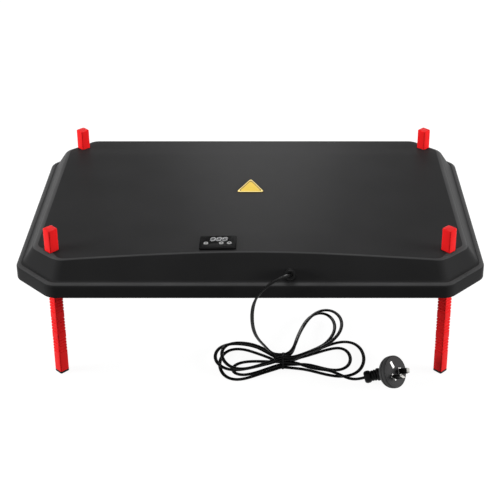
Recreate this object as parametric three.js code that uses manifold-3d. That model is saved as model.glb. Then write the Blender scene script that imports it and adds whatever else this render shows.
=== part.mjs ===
// Heated brooder plate: a moulded cover over a warm base panel, carried by four notched legs that slide,
// with a thermostat panel on top and a flat mains cord tied in a hank on the floor.
// Millimetres, X to the right, Y to the back, Z up. The origin is below the middle of the plate, on the floor.
import * as THREE from "three";
import { mergeVertices } from "three/addons/utils/BufferGeometryUtils.js";
import Module from "manifold-3d";

const wasm = await Module();
wasm.setup();

// Fits shared by all pieces
const GAP = 0.3; // between pieces that touch
const OVERRUN = 2; // how far a cut runs past the face that it opens
const WELD = 1e-3; // vertices nearer than this are one

// Cover, measured from the lower edge of its skirt
const STAND_HEIGHT = 142; // lower edge of the skirt above the floor
const PLATE_WIDTH = 600;
const PLATE_DEPTH = 400;
const COVER_WALL = 2.5;
const SKIRT_HEIGHT = 15.3;
const SKIRT_CUT = 49; // what a corner takes off each side
const SKIRT_RADIUS = 22;
const SHOULDER_RADIUS = 3.7;
const LEDGE_WIDTH = 8;
const CREASE_CUT = 48;
const CREASE_RADIUS = 20;
const WALL_RISE = 24; // the sloping wall gains this while it runs in by the next two
const WALL_RUN_SIDE = 16;
const WALL_RUN_FRONT = 13.85;
const CREST_CUT = 37;
const CREST_RADIUS = 15;
const WALL_TOP = 60; // above every point of the cover's top
const RIDGE_HEIGHT = 51.4; // middle of the front crest
const RIDGE_SOFTNESS = 125; // half the width over which the ridge bends
const RIDGE_FALL_SHARE = 0.0595; // slope of the front crest far from the ridge
const BACK_CREASE_HEIGHT = 46;
const BACK_CREASE_INSET = 75.3; // from the skirt's back face
const BACK_FALL_SHARE = 0.063;
const TOP_GRID = 40; // spacing of the top's grid lines

// Screws that hold the base panel, and the bosses that take them
const BOSS_RADIUS = 4.5;
const SCREW_SHANK_RADIUS = 1.5;
const SCREW_HEAD_RADIUS = 3.2;
const SCREW_HEAD_HEIGHT = 1.6;
const SCREW_GRIP = 12; // length of shank in the boss
const LONG_SIDE_BOSS_X = 132;
const LONG_SIDE_BOSS_INSET = 32;
const SHORT_SIDE_BOSS_INSET = 33;
const SHORT_SIDE_BOSS_Y = 62;

// Base panel
const BASE_RECESS = 1; // the panel lies this far inside the skirt
const BASE_THICKNESS = 3;
const BASE_RIM_HEIGHT = 7;
const BASE_RIM_WALL = 2;

// Heating layers on the base panel
const FILM_INSET_SIDE = 55; // from the skirt's faces
const FILM_INSET_FRONT = 50;
const FILM_CUT = 45;
const FILM_THICKNESS = 0.8;
const PAD_MARGIN = 4; // the pad ends this far inside the film
const PAD_THICKNESS = 14;
const CUTOUT_RADIUS = 8;
const CUTOUT_HEIGHT = 6;
const CUTOUT_X = -120;
const CUTOUT_Y = 20;
const PROBE_RADIUS = 3;
const PROBE_LENGTH = 26;
const PROBE_X = -40;
const PROBE_Y = -60;
const POCKET_PLAY = 1;

// Legs
const LEG_SIDE = 13.5;
const LEG_CORNER = 1.7;
const LEG_INSET = 48.5; // from the skirt's faces
const LEG_TOP = 215;
const LEG_BEVEL = 1;
const LEG_PLAY = 0.8; // on each face, in the cover and the base panel
const NOTCH_DEPTH = 0.9;
const NOTCH_PITCH = 4.6;
const NOTCHES_PER_GROUP = 5;
const NOTCH_GROUPS = 5;
const GROUP_PITCH = 30.6;
const FIRST_NOTCH = 33.5;
const FOOT_HEIGHT = 8; // of the rubber tip, most of it inside the leg
const FOOT_SHOWN = 2.6;
const FOOT_PLUG_SIDE = 8;
const GUIDE_WALL = 2.2;
const GUIDE_TOP = 30; // above the skirt's lower edge
const GUIDE_FLANGE = 4;
const GUIDE_FLANGE_THICKNESS = 2;
const CATCH_WIDTH = 5;
const CATCH_NOSE_HEIGHT = 3;
const CATCH_LEAF_THICKNESS = 1;
const CATCH_LEAF_LENGTH = 18;
const CATCH_HEIGHT = 19; // nose above the skirt's lower edge

// Thermostat panel, whose own frame has the cover's outer face at 0
const PANEL_X = -40.4;
const PANEL_INSET = 49.5; // from the skirt's front face to the panel's middle
const PANEL_WIDTH = 46.8;
const PANEL_DEPTH = 34.5;
const PANEL_THICKNESS = 1.4;
const PANEL_CORNER = 3;
const COLLAR_INSET = 1.2;
const COLLAR_WALL = 1.2;
const COLLAR_DEPTH = 9;
const SNAP_REACH = 0.9;
const SNAP_HEIGHT = 1.2;
const WINDOW_WIDTH = 24;
const WINDOW_DEPTH = 11.4;
const WINDOW_X = 1.4;
const WINDOW_Y = 8.9;
const WINDOW_LIP = 1.2; // at its left and right ends
const WINDOW_LIP_THICKNESS = 0.8;
const BUTTON_RADIUS = 3;
const BUTTON_PROUD = 0.7;
const BUTTON_LIP = 0.8;
const BUTTON_LIP_THICKNESS = 0.9;
const BUTTON_STEM_RADIUS = 1.5;
const BUTTON_TRAVEL = 0.5;
const BUTTON_Y = -2.5;
const BUTTONS = { button_set: -15.2, button_down: 4.2, button_up: 14.4 };
const SWITCH_SIDE = 6;
const SWITCH_HEIGHT = 3;
const BOARD_THICKNESS = 1.6;
const POST_RADIUS = 2.6;
const POST_INSET = 6;
const SMALL_SCREW_RADIUS = 0.9;
const SMALL_HEAD_RADIUS = 2;
const SMALL_HEAD_HEIGHT = 1.5;
const SMALL_SCREW_GRIP = 5;

// Power board on the base panel
const POWER_X = 88;
const POWER_INSET = 30; // from the skirt's front face
const POWER_WIDTH = 60;
const POWER_DEPTH = 22;
const POWER_POST_HEIGHT = 5;
const POWER_SCREW_INSET = 4;
const RELAY_WIDTH = 16;
const RELAY_DEPTH = 14;
const RELAY_HEIGHT = 13;
const TERMINAL_WIDTH = 16;
const TERMINAL_DEPTH = 10;
const TERMINAL_HEIGHT = 10;
const PARTS_SPACING = 3;

// Badge on the cover, a rounded triangle with its point to the back
const BADGE_X = -2;
const BADGE_Y = 17.5;
const BADGE_WIDTH = 40;
const BADGE_DEPTH = 42;
const BADGE_CORNER = 3;
const BADGE_THICKNESS = 0.7;

// Cord gland on the front wall
const GLAND_X = 50.5;
const GLAND_HEIGHT = 26.6; // above the skirt's lower edge, where its axis meets the wall
const GLAND_SHANK_RADIUS = 5.7;
const GLAND_FLANGE_RADIUS = 7.7;
const GLAND_FLANGE_THICKNESS = 1.8;
const GLAND_HEAD_RADIUS = 7.2;
const GLAND_TIP_RADIUS = 5;
const GLAND_HEAD_LENGTH = 12;
const GLAND_TAPER_LENGTH = 3;
const GLAND_TAIL_LENGTH = 8;
const NUT_ACROSS_FLATS = 16;
const NUT_THICKNESS = 4;

// Flat two-core cord
const CORD_WIDTH = 4.8;
const CORD_THICKNESS = 3;
const STRAND_GAP = 1.15;
const FLOOR_CLEARANCE = 0.2;
const CORD_SIDES = 10;
const DROP_STEPS = 30;
const TAIL_STEPS = 16;

// The free stretches' routes: from the gland to the tie, and from the tie to the plug
const DROP_POINTS = [
  [50.5, -198.25, 174.75], [50.3, -202.6, 177.2], [48.1, -206.8, 179.1], [43.6, -210.3, 179.6],
  [36.6, -213, 177.7], [29.4, -214.3, 174], [22.9, -214.6, 168.9], [16.8, -214.2, 162.4],
  [11.8, -213, 155], [7.4, -210.6, 146], [4.6, -207.2, 135], [3.1, -202.5, 122], [2.8, -196.4, 107.5],
  [3.6, -189.2, 93], [5.6, -180.4, 78], [8.9, -170.6, 63.6], [13.4, -160.4, 50], [18, -151, 38],
  [21.8, -144.3, 28.6], [25.6, -139.8, 21.6], [29.8, -137.9, 17], [34, -137.55, 15.4], [37.2, -137.52, 15.25],
  [39.45, -137.52, 15.25],
];
const TAIL_POINTS = [
  [45.15, -143.48, 6.95], [48.2, -143.5, 6.97], [57, -146.1, 8.1], [65, -150.3, 8.6], [73.3, -154.5, 7.8],
  [85.1, -158, 6.7], [97.7, -160.5, 6.5], [106, -163.4, 6.5], [114.1, -169, 6.4], [122.4, -173.7, 5.3],
  [130.7, -176.4, 3.6], [138, -179.2, 4.9], [144.6, -180.72, 7.2], [149.7, -180.26, 8.39],
];

// Hank: each pass goes through the tie in a slot of the bundle, and a lobe joins it to the next pass.
// A lobe turns to its tilt, in degrees, over the distance bend. Its fullness is how late it opens, and
// its lean how far its end swings to one side.
const WAIST_X = 42.3;
const WAIST_Y = -140.5;
const WAIST_HALF_LENGTH = 2.5;
const WAIST_LIFT = 1.1; // room for the tie below the bundle
const PASSES = [
  { column: 0.5, level: 3 }, { column: -0.5, level: 3 }, { column: 0.5, level: 2 },
  { column: -0.5, level: 2 }, { column: 0.5, level: 1 }, { column: -0.5, level: 0 },
  { column: 0.5, level: 0 }, { column: -1.5, level: 0 }, { column: -0.5, level: 1 },
];
const LOBES = [
  { reach: 129.84, width: 56.97, tilt: 42.07, bend: 17.48, fullness: 1.21, lean: 1.31, farLevel: 2.2 },
  { reach: 78.72, width: 61.44, tilt: -3.73, bend: 9, fullness: 1.24, lean: -0.49, farLevel: 2.2 },
  { reach: 124.58, width: 50.35, tilt: 45.05, bend: 14.12, fullness: 1.37, lean: 1.51, farLevel: 1.1 },
  { reach: 89.76, width: 61.25, tilt: 8.49, bend: 55.9, fullness: 1.14, lean: -0.23, farLevel: 1.05 },
  { reach: 89.96, width: 50.79, tilt: 8.51, bend: 60, fullness: 2.65, lean: 0.33, farLevel: 0 },
  { reach: 65.74, width: 28.81, tilt: -11.9, bend: 9, fullness: 1.64, lean: 0.06, farLevel: 0 },
  { reach: 107.82, width: 79.84, tilt: 3.5, bend: 9, fullness: 1.84, lean: 0.35, farLevel: 0 },
  { reach: 82.03, width: 70.98, tilt: -1.3, bend: 10.13, fullness: 1.5, lean: -0.07, farLevel: 0 },
];
const SLOT_FADE = 24; // distance over which the bundle's order is left behind
const DROOP_START = 22; // a lobe comes down from the bundle between these distances from the tie
const DROOP_END = 74;
const CLIMB_END = 40; // a returning run changes its level within this distance of the tie
const LOBE_SAMPLES = 96;
const LOOP_STEPS = 32;
const HANK_SIDES = 6;
const TIE_WIDTH = 2.4;
const TIE_THICKNESS = 0.8;
const TIE_SLACK = 0.9; // between the tie and the bundle
const TIE_EAR_LENGTH = 7;
const TIE_EAR_THICKNESS = 2;

// Plug: boot, round body, two flat pins and a blank where a third would be. The boot bends to the cord.
const PLUG_X = 176.4; // where the boot's axis meets the body's
const PLUG_Y = -177.45;
const PLUG_Z = 13.9;
const PLUG_HEADING = -40.6; // degrees from +X
const PLUG_RISE = 29; // degrees from the floor
const PLUG_ROLL = 187; // degrees about its axis
const BOOT_HEADING = 6;
const BOOT_RISE = 11.6;
const BOOT_REACH = 27; // from the boot's outer end to the bend
const BOOT_RADIUS = 8.1;
const BOOT_COLLAR_LENGTH = 6.5;
const BOOT_NECK_RADIUS = 6.4;
const BOOT_RIB_RADIUS = 7.4;
const BOOT_RIB_PITCH = 3.6;
const BOOT_RIBS = 3;
const BOOT_LENGTH = 20.5;
const BODY_SHOULDER_LENGTH = 8;
const BODY_NECK_OVERLAP = 4;
const BODY_SHOULDER_RADIUS = 12;
const BODY_NECK_RADIUS = 8;
const FLANGE_RADIUS = 21.2;
const FLANGE_THICKNESS = 10;
const FLANGE_ROUNDING = 2.2;
const PIN_WIDTH = 6.35;
const PIN_THICKNESS = 1.6;
const PIN_LENGTH = 17;
const PIN_ROOT = 6;
const PIN_CIRCLE = 7.92;
const SLEEVE_WALL = 0.6;
const SLEEVE_LENGTH = 8;
const BLANK_CIRCLE = 10.3;
const BLANK_PROUD = 0.5;
const PIN_ANGLE = 120; // degrees from the blank to each pin

// Levels worked out from the sizes above
const LEDGE_HEIGHT = SKIRT_HEIGHT + SHOULDER_RADIUS;
const CREASE_HALF_WIDTH = PLATE_WIDTH / 2 - LEDGE_WIDTH;
const CREASE_HALF_DEPTH = PLATE_DEPTH / 2 - LEDGE_WIDTH;
const FRONT_CREST_Y = -(CREASE_HALF_DEPTH - (WALL_RUN_FRONT * (RIDGE_HEIGHT - LEDGE_HEIGHT)) / WALL_RISE);
const BACK_CREASE_Y = PLATE_DEPTH / 2 - BACK_CREASE_INSET;
const FILM_WIDTH = PLATE_WIDTH - 2 * FILM_INSET_SIDE;
const FILM_DEPTH = PLATE_DEPTH - 2 * FILM_INSET_FRONT;
const LEG_X = PLATE_WIDTH / 2 - LEG_INSET;
const LEG_Y = PLATE_DEPTH / 2 - LEG_INSET;
const PANEL_Y = PANEL_INSET - PLATE_DEPTH / 2;
const POWER_Y = POWER_INSET - PLATE_DEPTH / 2;
const BASE_TOP = BASE_RECESS + BASE_THICKNESS;
const BOSS_FOOT = BASE_TOP + GAP;
const FILM_FOOT = BASE_TOP + GAP;
const PAD_FOOT = FILM_FOOT + FILM_THICKNESS + GAP;
const LEG_HOLE_SIDE = LEG_SIDE + 2 * LEG_PLAY;
const GUIDE_BORE_SIDE = LEG_SIDE + 2 * GAP;
const COLLAR_WIDTH = PANEL_WIDTH - 2 * COLLAR_INSET;
const COLLAR_LENGTH = PANEL_DEPTH - 2 * COLLAR_INSET;
const PANEL_BOARD_TOP = -(COLLAR_DEPTH + GAP);
const COLUMN_PITCH = CORD_WIDTH + STRAND_GAP;
const LEVEL_PITCH = CORD_THICKNESS + STRAND_GAP;
const FLOOR_LEVEL = CORD_THICKNESS / 2 + FLOOR_CLEARANCE;
const CORNER_STEPS = 4;
const ROUND_SIDES = 20;
const SCREW_SIDES = 12;

// Materials, one for each finish
const paint = (color, roughness, metalness = 0) =>
  new THREE.MeshStandardMaterial({ color, roughness, metalness });
const BLACK_PLASTIC = paint(0x2b2b2c, 0.5);
const DARK_PLASTIC = paint(0x161617, 0.4);
const GREY_PANEL = paint(0x3a3b3d, 0.6);
const RED_PLASTIC = paint(0xc41f22, 0.35);
const WHITE_PLASTIC = paint(0xe9e9e6, 0.5);
const LIGHT_GREY = paint(0x9a9a98, 0.45);
const YELLOW_LABEL = paint(0xe9a621, 0.5);
const BLACK_RUBBER = paint(0x1a1a1a, 0.7);
const CORD_PLASTIC = paint(0x171718, 0.45);
const BLACK_GLASS = paint(0x111214, 0.15);
const STEEL = paint(0xb5b6b8, 0.35, 1);
const BRASS = paint(0xc9c2ae, 0.3, 1);
const CIRCUIT_GREEN = paint(0x1f5a3a, 0.5);
const FOAM = paint(0x8f959b, 0.9);
const FILM = paint(0x3b2a1c, 0.5);

// Solids and geometries

// A closed geometry as a solid that can be joined and cut.
function solid(geometry) {
  const bare = geometry.clone();
  bare.deleteAttribute("normal");
  bare.deleteAttribute("uv");
  const merged = mergeVertices(bare, WELD);
  return new wasm.Manifold(
    new wasm.Mesh({
      numProp: 3,
      vertProperties: new Float32Array(merged.attributes.position.array),
      triVerts: new Uint32Array(merged.index.array),
    }),
  );
}

// A solid back as a geometry.
function geometryOf(manifold) {
  const mesh = manifold.getMesh();
  const geometry = new THREE.BufferGeometry();
  const positions = new Float32Array(mesh.vertProperties);
  geometry.setAttribute("position", new THREE.BufferAttribute(positions, mesh.numProp));
  geometry.setIndex(new THREE.BufferAttribute(new Uint32Array(mesh.triVerts), 1));
  geometry.computeVertexNormals();
  return geometry;
}

const union = (first, ...others) => others.reduce((sum, other) => sum.add(other), first);
const cut = (first, ...others) => others.reduce((rest, other) => rest.subtract(other), first);

function box(width, depth, low, high, x = 0, y = 0) {
  const geometry = new THREE.BoxGeometry(width, depth, high - low);
  return solid(geometry.translate(x, y, (low + high) / 2));
}

function cylinder(radius, low, high, x = 0, y = 0, sides = ROUND_SIDES) {
  const geometry = new THREE.CylinderGeometry(radius, radius, high - low, sides);
  return solid(geometry.rotateX(Math.PI / 2).translate(x, y, (low + high) / 2));
}

// A profile of [radius, height] pairs turned about Z.
function turned(profile, sides = ROUND_SIDES) {
  const points = profile.map(([radius, height]) => new THREE.Vector2(radius, height));
  return solid(new THREE.LatheGeometry(points, sides).rotateX(Math.PI / 2));
}

// A square bar along Z, turned 45 degrees.
function turnedBar(side, low, high, x = 0, y = 0) {
  const geometry = new THREE.BoxGeometry(side, side, high - low).rotateZ(Math.PI / 4);
  return solid(geometry.translate(x, y, (low + high) / 2));
}

function roundedRectangle(width, depth, radius) {
  const shape = new THREE.Shape();
  const [x, y] = [width / 2 - radius, depth / 2 - radius];
  shape.absarc(x, y, radius, 0, Math.PI / 2);
  shape.absarc(-x, y, radius, Math.PI / 2, Math.PI);
  shape.absarc(-x, -y, radius, Math.PI, 1.5 * Math.PI);
  shape.absarc(x, -y, radius, 1.5 * Math.PI, 2 * Math.PI);
  return shape;
}

function extruded(shape, low, high, curveSegments = CORNER_STEPS) {
  const geometry = new THREE.ExtrudeGeometry(shape, { depth: high - low, bevelEnabled: false, curveSegments });
  return solid(geometry.translate(0, 0, low));
}

// Points of a rectangle whose corners are cut at 45 degrees by the length cutBy and then rounded.
function cutOutline(halfWidth, halfDepth, cutBy, radius, steps = CORNER_STEPS) {
  const corners = [
    [halfWidth, cutBy - halfDepth], [halfWidth, halfDepth - cutBy],
    [halfWidth - cutBy, halfDepth], [cutBy - halfWidth, halfDepth],
    [-halfWidth, halfDepth - cutBy], [-halfWidth, cutBy - halfDepth],
    [cutBy - halfWidth, -halfDepth], [halfWidth - cutBy, -halfDepth],
  ];
  const eighth = Math.PI / 4;
  const tangent = radius * Math.tan(eighth / 2);
  return corners.flatMap(([x, y], corner) => {
    const heading = eighth * (corner + 1);
    const startX = x - Math.cos(heading) * tangent;
    const startY = y - Math.sin(heading) * tangent;
    const centreX = startX - Math.sin(heading) * radius;
    const centreY = startY + Math.cos(heading) * radius;
    return Array.from({ length: steps + 1 }, (_, step) => {
      const angle = heading - Math.PI / 2 + (eighth * step) / steps;
      return [centreX + Math.cos(angle) * radius, centreY + Math.sin(angle) * radius];
    });
  });
}

// A solid through rings of equally many points, each { points, height }, from the lowest ring to the highest.
function stacked(rings) {
  const count = rings[0].points.length;
  const vertices = rings.flatMap(({ points, height }) => points.flatMap(([x, y]) => [x, y, height]));
  const faces = [];
  for (let level = 0; level + 1 < rings.length; level++) {
    for (let i = 0; i < count; i++) {
      const next = (i + 1) % count;
      const [a, b] = [level * count + i, level * count + next];
      faces.push(a, b, b + count, a, b + count, a + count);
    }
  }
  const top = (rings.length - 1) * count;
  for (let i = 1; i + 1 < count; i++) {
    faces.push(0, i + 1, i, top, top + i, top + i + 1);
  }
  return solid(indexed(vertices, faces));
}

function indexed(vertices, faces) {
  const geometry = new THREE.BufferGeometry();
  geometry.setAttribute("position", new THREE.Float32BufferAttribute(vertices, 3));
  geometry.setIndex(faces);
  return geometry;
}

// The solid below a surface height(x, y) over a grid.
function below(height, xs, ys, bottom) {
  const [columns, rows] = [xs.length, ys.length];
  const layer = columns * rows;
  const vertices = [];
  for (const lift of [() => bottom, height]) {
    for (const y of ys) for (const x of xs) vertices.push(x, y, lift(x, y));
  }
  const faces = [];
  const quad = (a, b, c, d) => faces.push(a, b, c, a, c, d);
  for (let row = 0; row + 1 < rows; row++) {
    for (let column = 0; column + 1 < columns; column++) {
      const a = row * columns + column;
      quad(a, a + columns, a + columns + 1, a + 1);
      quad(layer + a, layer + a + 1, layer + a + columns + 1, layer + a + columns);
    }
  }
  for (let column = 0; column + 1 < columns; column++) {
    const far = (rows - 1) * columns + column;
    quad(column, column + 1, layer + column + 1, layer + column);
    quad(far + 1, far, layer + far, layer + far + 1);
  }
  for (let row = 0; row + 1 < rows; row++) {
    const near = row * columns;
    const far = near + columns - 1;
    quad(near + columns, near, layer + near, layer + near + columns);
    quad(far, far + columns, layer + far + columns, layer + far);
  }
  return solid(indexed(vertices, faces));
}

const range = (count) => Array.from({ length: count }, (_, index) => index);

function spaced(low, high, spacing) {
  const steps = Math.ceil((high - low) / spacing);
  return range(steps + 1).map((step) => low + ((high - low) * step) / steps);
}

// Scene graph
const product = new THREE.Group();
const plate = new THREE.Group();
plate.position.z = STAND_HEIGHT;
product.add(plate);

function add(parent, name, manifold, material) {
  const mesh = new THREE.Mesh(geometryOf(manifold), material);
  mesh.name = name;
  parent.add(mesh);
  return mesh;
}

// Cover

// Height of the cover's outer top: a soft ridge at the front, blended into a straight crease near the back.
function coverHeight(x, y) {
  if (y > BACK_CREASE_Y) return BACK_CREASE_HEIGHT - BACK_FALL_SHARE * (y - BACK_CREASE_Y);
  const front = RIDGE_HEIGHT - RIDGE_FALL_SHARE * (Math.hypot(x, RIDGE_SOFTNESS) - RIDGE_SOFTNESS);
  const share = (y - FRONT_CREST_Y) / (BACK_CREASE_Y - FRONT_CREST_Y);
  return front + (BACK_CREASE_HEIGHT - front) * share;
}

// Ring of the sloping wall at a height, moved in by a wall thickness.
function wallRing(height, inset) {
  const share = (height - LEDGE_HEIGHT) / WALL_RISE;
  const lean = Math.hypot(WALL_RISE, WALL_RUN_FRONT) / WALL_RISE;
  const crestCut = CREASE_CUT + (CREST_CUT - CREASE_CUT) * share;
  return {
    height,
    points: cutOutline(
      CREASE_HALF_WIDTH - WALL_RUN_SIDE * share - inset * lean,
      CREASE_HALF_DEPTH - WALL_RUN_FRONT * share - inset * lean,
      crestCut - inset * lean * (2 - Math.SQRT2),
      CREASE_RADIUS + (CREST_RADIUS - CREASE_RADIUS) * Math.min(share, 1) - inset,
    ),
  };
}

function skirtRing(height, inset, radius = SKIRT_RADIUS - inset) {
  return {
    height,
    points: cutOutline(
      PLATE_WIDTH / 2 - inset, PLATE_DEPTH / 2 - inset, SKIRT_CUT - inset * (2 - Math.SQRT2), radius,
    ),
  };
}

function topSlab(lowered, bottom) {
  const xs = spaced(-PLATE_WIDTH / 2 - OVERRUN, PLATE_WIDTH / 2 + OVERRUN, TOP_GRID);
  const ys = [
    ...spaced(-PLATE_DEPTH / 2 - OVERRUN, BACK_CREASE_Y, 2 * TOP_GRID),
    PLATE_DEPTH / 2 + OVERRUN,
  ];
  return below((x, y) => coverHeight(x, y) - lowered, xs, ys, bottom);
}

const shoulderRings = range(4).map((step) => {
  const angle = (Math.PI / 2) * (step / 3);
  return skirtRing(
    SKIRT_HEIGHT + SHOULDER_RADIUS * Math.sin(angle),
    SHOULDER_RADIUS * (1 - Math.cos(angle)),
  );
});
const coverOutside = stacked([
  skirtRing(0, 0),
  ...shoulderRings,
  wallRing(LEDGE_HEIGHT, 0),
  wallRing(WALL_TOP, 0),
]).intersect(topSlab(0, -OVERRUN));
const coverInside = stacked([
  skirtRing(-OVERRUN, COVER_WALL),
  skirtRing(SKIRT_HEIGHT, COVER_WALL),
  skirtRing(LEDGE_HEIGHT - COVER_WALL, COVER_WALL + SHOULDER_RADIUS / 2),
  wallRing(LEDGE_HEIGHT - COVER_WALL, COVER_WALL),
  wallRing(WALL_TOP, COVER_WALL),
]).intersect(topSlab(COVER_WALL, -2 * OVERRUN));

const bossPlaces = [-1, 1].flatMap((side) => [-1, 1].flatMap((end) => [
  { x: end * LONG_SIDE_BOSS_X, y: side * (PLATE_DEPTH / 2 - LONG_SIDE_BOSS_INSET) },
  { x: end * (PLATE_WIDTH / 2 - SHORT_SIDE_BOSS_INSET), y: side * SHORT_SIDE_BOSS_Y },
]));
const legPlaces = {
  front_left: { x: -LEG_X, y: -LEG_Y },
  front_right: { x: LEG_X, y: -LEG_Y },
  back_left: { x: -LEG_X, y: LEG_Y },
  back_right: { x: LEG_X, y: LEG_Y },
};
const bosses = bossPlaces.map(({ x, y }) =>
  cylinder(BOSS_RADIUS, BOSS_FOOT, WALL_TOP, x, y, SCREW_SIDES).intersect(coverOutside));
const bossBores = bossPlaces.map(({ x, y }) =>
  cylinder(SCREW_SHANK_RADIUS + GAP, 0, BOSS_FOOT + SCREW_GRIP + GAP, x, y, SCREW_SIDES));
const coverLegHoles = Object.values(legPlaces).map(({ x, y }) =>
  turnedBar(LEG_HOLE_SIDE, GUIDE_TOP, WALL_TOP + OVERRUN, x, y));

// A frame whose Z is square to the cover's top at a place.
function topFrame(x, y) {
  const step = LEDGE_WIDTH;
  const slopeX = (coverHeight(x + step, y) - coverHeight(x - step, y)) / (2 * step);
  const slopeY = (coverHeight(x, y + step) - coverHeight(x, y - step)) / (2 * step);
  const group = new THREE.Group();
  group.position.set(x, y, coverHeight(x, y));
  group.quaternion.setFromUnitVectors(
    new THREE.Vector3(0, 0, 1),
    new THREE.Vector3(-slopeX, -slopeY, 1).normalize(),
  );
  group.updateMatrix();
  plate.add(group);
  return group;
}

const moved = (manifold, group) => solid(geometryOf(manifold).applyMatrix4(group.matrix));

const panel = topFrame(PANEL_X, PANEL_Y);
const panelOpening = moved(
  box(COLLAR_WIDTH + 2 * GAP, COLLAR_LENGTH + 2 * GAP, -COLLAR_DEPTH, COLLAR_DEPTH), panel,
);

const gland = new THREE.Group();
const glandShare = (GLAND_HEIGHT - LEDGE_HEIGHT) / WALL_RISE;
gland.position.set(GLAND_X, WALL_RUN_FRONT * glandShare - CREASE_HALF_DEPTH, GLAND_HEIGHT);
gland.quaternion.setFromUnitVectors(
  new THREE.Vector3(0, 0, 1),
  new THREE.Vector3(0, -WALL_RISE, WALL_RUN_FRONT).normalize(),
);
gland.updateMatrix();
plate.add(gland);
const glandOpening = moved(
  cylinder(GLAND_SHANK_RADIUS + GAP, -GLAND_TAIL_LENGTH, GLAND_TAIL_LENGTH), gland,
);

add(
  plate,
  "top_cover",
  cut(
    union(cut(coverOutside, coverInside), ...bosses),
    ...bossBores, ...coverLegHoles, panelOpening, glandOpening,
  ),
  BLACK_PLASTIC,
);

// Base panel with its rim, leg holes, screw holes and the power board's posts
const baseInset = COVER_WALL + GAP;
const baseScrewHoles = bossPlaces.flatMap(({ x, y }) => [
  cylinder(SCREW_SHANK_RADIUS + GAP, -OVERRUN, BASE_TOP + OVERRUN, x, y, SCREW_SIDES),
  cylinder(SCREW_HEAD_RADIUS + GAP, -OVERRUN, BASE_RECESS + SCREW_HEAD_HEIGHT, x, y, SCREW_SIDES),
]);
const baseLegHoles = Object.values(legPlaces).map(({ x, y }) =>
  turnedBar(LEG_HOLE_SIDE, -OVERRUN, BASE_TOP + OVERRUN, x, y));
const powerScrewPlaces = [-1, 1].map((end) => ({
  x: POWER_X + end * (POWER_WIDTH / 2 - POWER_SCREW_INSET),
  y: POWER_Y,
}));
const powerPosts = powerScrewPlaces.map(({ x, y }) =>
  cylinder(POST_RADIUS, BASE_TOP - GAP, BASE_TOP + POWER_POST_HEIGHT, x, y, SCREW_SIDES));
const powerPostBores = powerScrewPlaces.map(({ x, y }) =>
  cylinder(SMALL_SCREW_RADIUS + GAP, BASE_TOP, BASE_TOP + POWER_POST_HEIGHT + OVERRUN, x, y, SCREW_SIDES));
add(
  plate,
  "heating_base",
  cut(
    union(
      cut(
        stacked([skirtRing(BASE_RECESS, baseInset), skirtRing(BASE_TOP + BASE_RIM_HEIGHT, baseInset)]),
        stacked([
          skirtRing(BASE_TOP, baseInset + BASE_RIM_WALL),
          skirtRing(BASE_TOP + BASE_RIM_HEIGHT + OVERRUN, baseInset + BASE_RIM_WALL),
        ]),
      ),
      ...powerPosts,
    ),
    ...baseScrewHoles, ...baseLegHoles, ...powerPostBores,
  ),
  GREY_PANEL,
);

// Screws from below, through the base panel into the cover's bosses
bossPlaces.forEach(({ x, y }, index) => {
  const headTop = BASE_RECESS + SCREW_HEAD_HEIGHT - GAP;
  add(
    plate,
    `base_screw_${index + 1}`,
    union(
      cylinder(SCREW_HEAD_RADIUS, headTop - SCREW_HEAD_HEIGHT, headTop, x, y, SCREW_SIDES),
      cylinder(SCREW_SHANK_RADIUS, headTop - GAP, BOSS_FOOT + SCREW_GRIP, x, y, SCREW_SIDES),
    ),
    STEEL,
  );
});

// Heating film and the foam over it, with pockets for the cut-out and the probe
const filmRing = (height, inset) => ({
  height,
  points: cutOutline(
    FILM_WIDTH / 2 - inset, FILM_DEPTH / 2 - inset, FILM_CUT - inset * (2 - Math.SQRT2), PAD_MARGIN, 2,
  ),
});
const padTop = PAD_FOOT + PAD_THICKNESS;
add(plate, "heating_film", stacked([filmRing(FILM_FOOT, 0), filmRing(FILM_FOOT + FILM_THICKNESS, 0)]), FILM);
add(
  plate,
  "insulation_pad",
  cut(
    stacked([filmRing(PAD_FOOT, PAD_MARGIN), filmRing(padTop, PAD_MARGIN)]),
    cylinder(CUTOUT_RADIUS + POCKET_PLAY, PAD_FOOT - OVERRUN, padTop + OVERRUN, CUTOUT_X, CUTOUT_Y),
    box(
      PROBE_LENGTH + 2 * POCKET_PLAY, 2 * (PROBE_RADIUS + POCKET_PLAY),
      PAD_FOOT - OVERRUN, padTop + OVERRUN, PROBE_X, PROBE_Y,
    ),
  ),
  FOAM,
);
add(
  plate,
  "thermal_cutout",
  union(
    cylinder(CUTOUT_RADIUS, PAD_FOOT, PAD_FOOT + CUTOUT_HEIGHT / 2, CUTOUT_X, CUTOUT_Y),
    cylinder(CUTOUT_RADIUS / 2, PAD_FOOT, PAD_FOOT + CUTOUT_HEIGHT, CUTOUT_X, CUTOUT_Y),
  ),
  STEEL,
);
const probe = add(
  plate,
  "temperature_probe",
  turned([
    [0, -PROBE_LENGTH / 2], [PROBE_RADIUS / 2, -PROBE_LENGTH / 2],
    [PROBE_RADIUS, PROBE_RADIUS - PROBE_LENGTH / 2],
    [PROBE_RADIUS, PROBE_LENGTH / 2], [0, PROBE_LENGTH / 2],
  ], 2 * CORNER_STEPS),
  STEEL,
);
probe.rotation.y = Math.PI / 2;
probe.position.set(PROBE_X, PROBE_Y, PAD_FOOT + PROBE_RADIUS);

// Legs, each with its rubber tip, and the guide and spring catch that stand on the base panel

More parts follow.
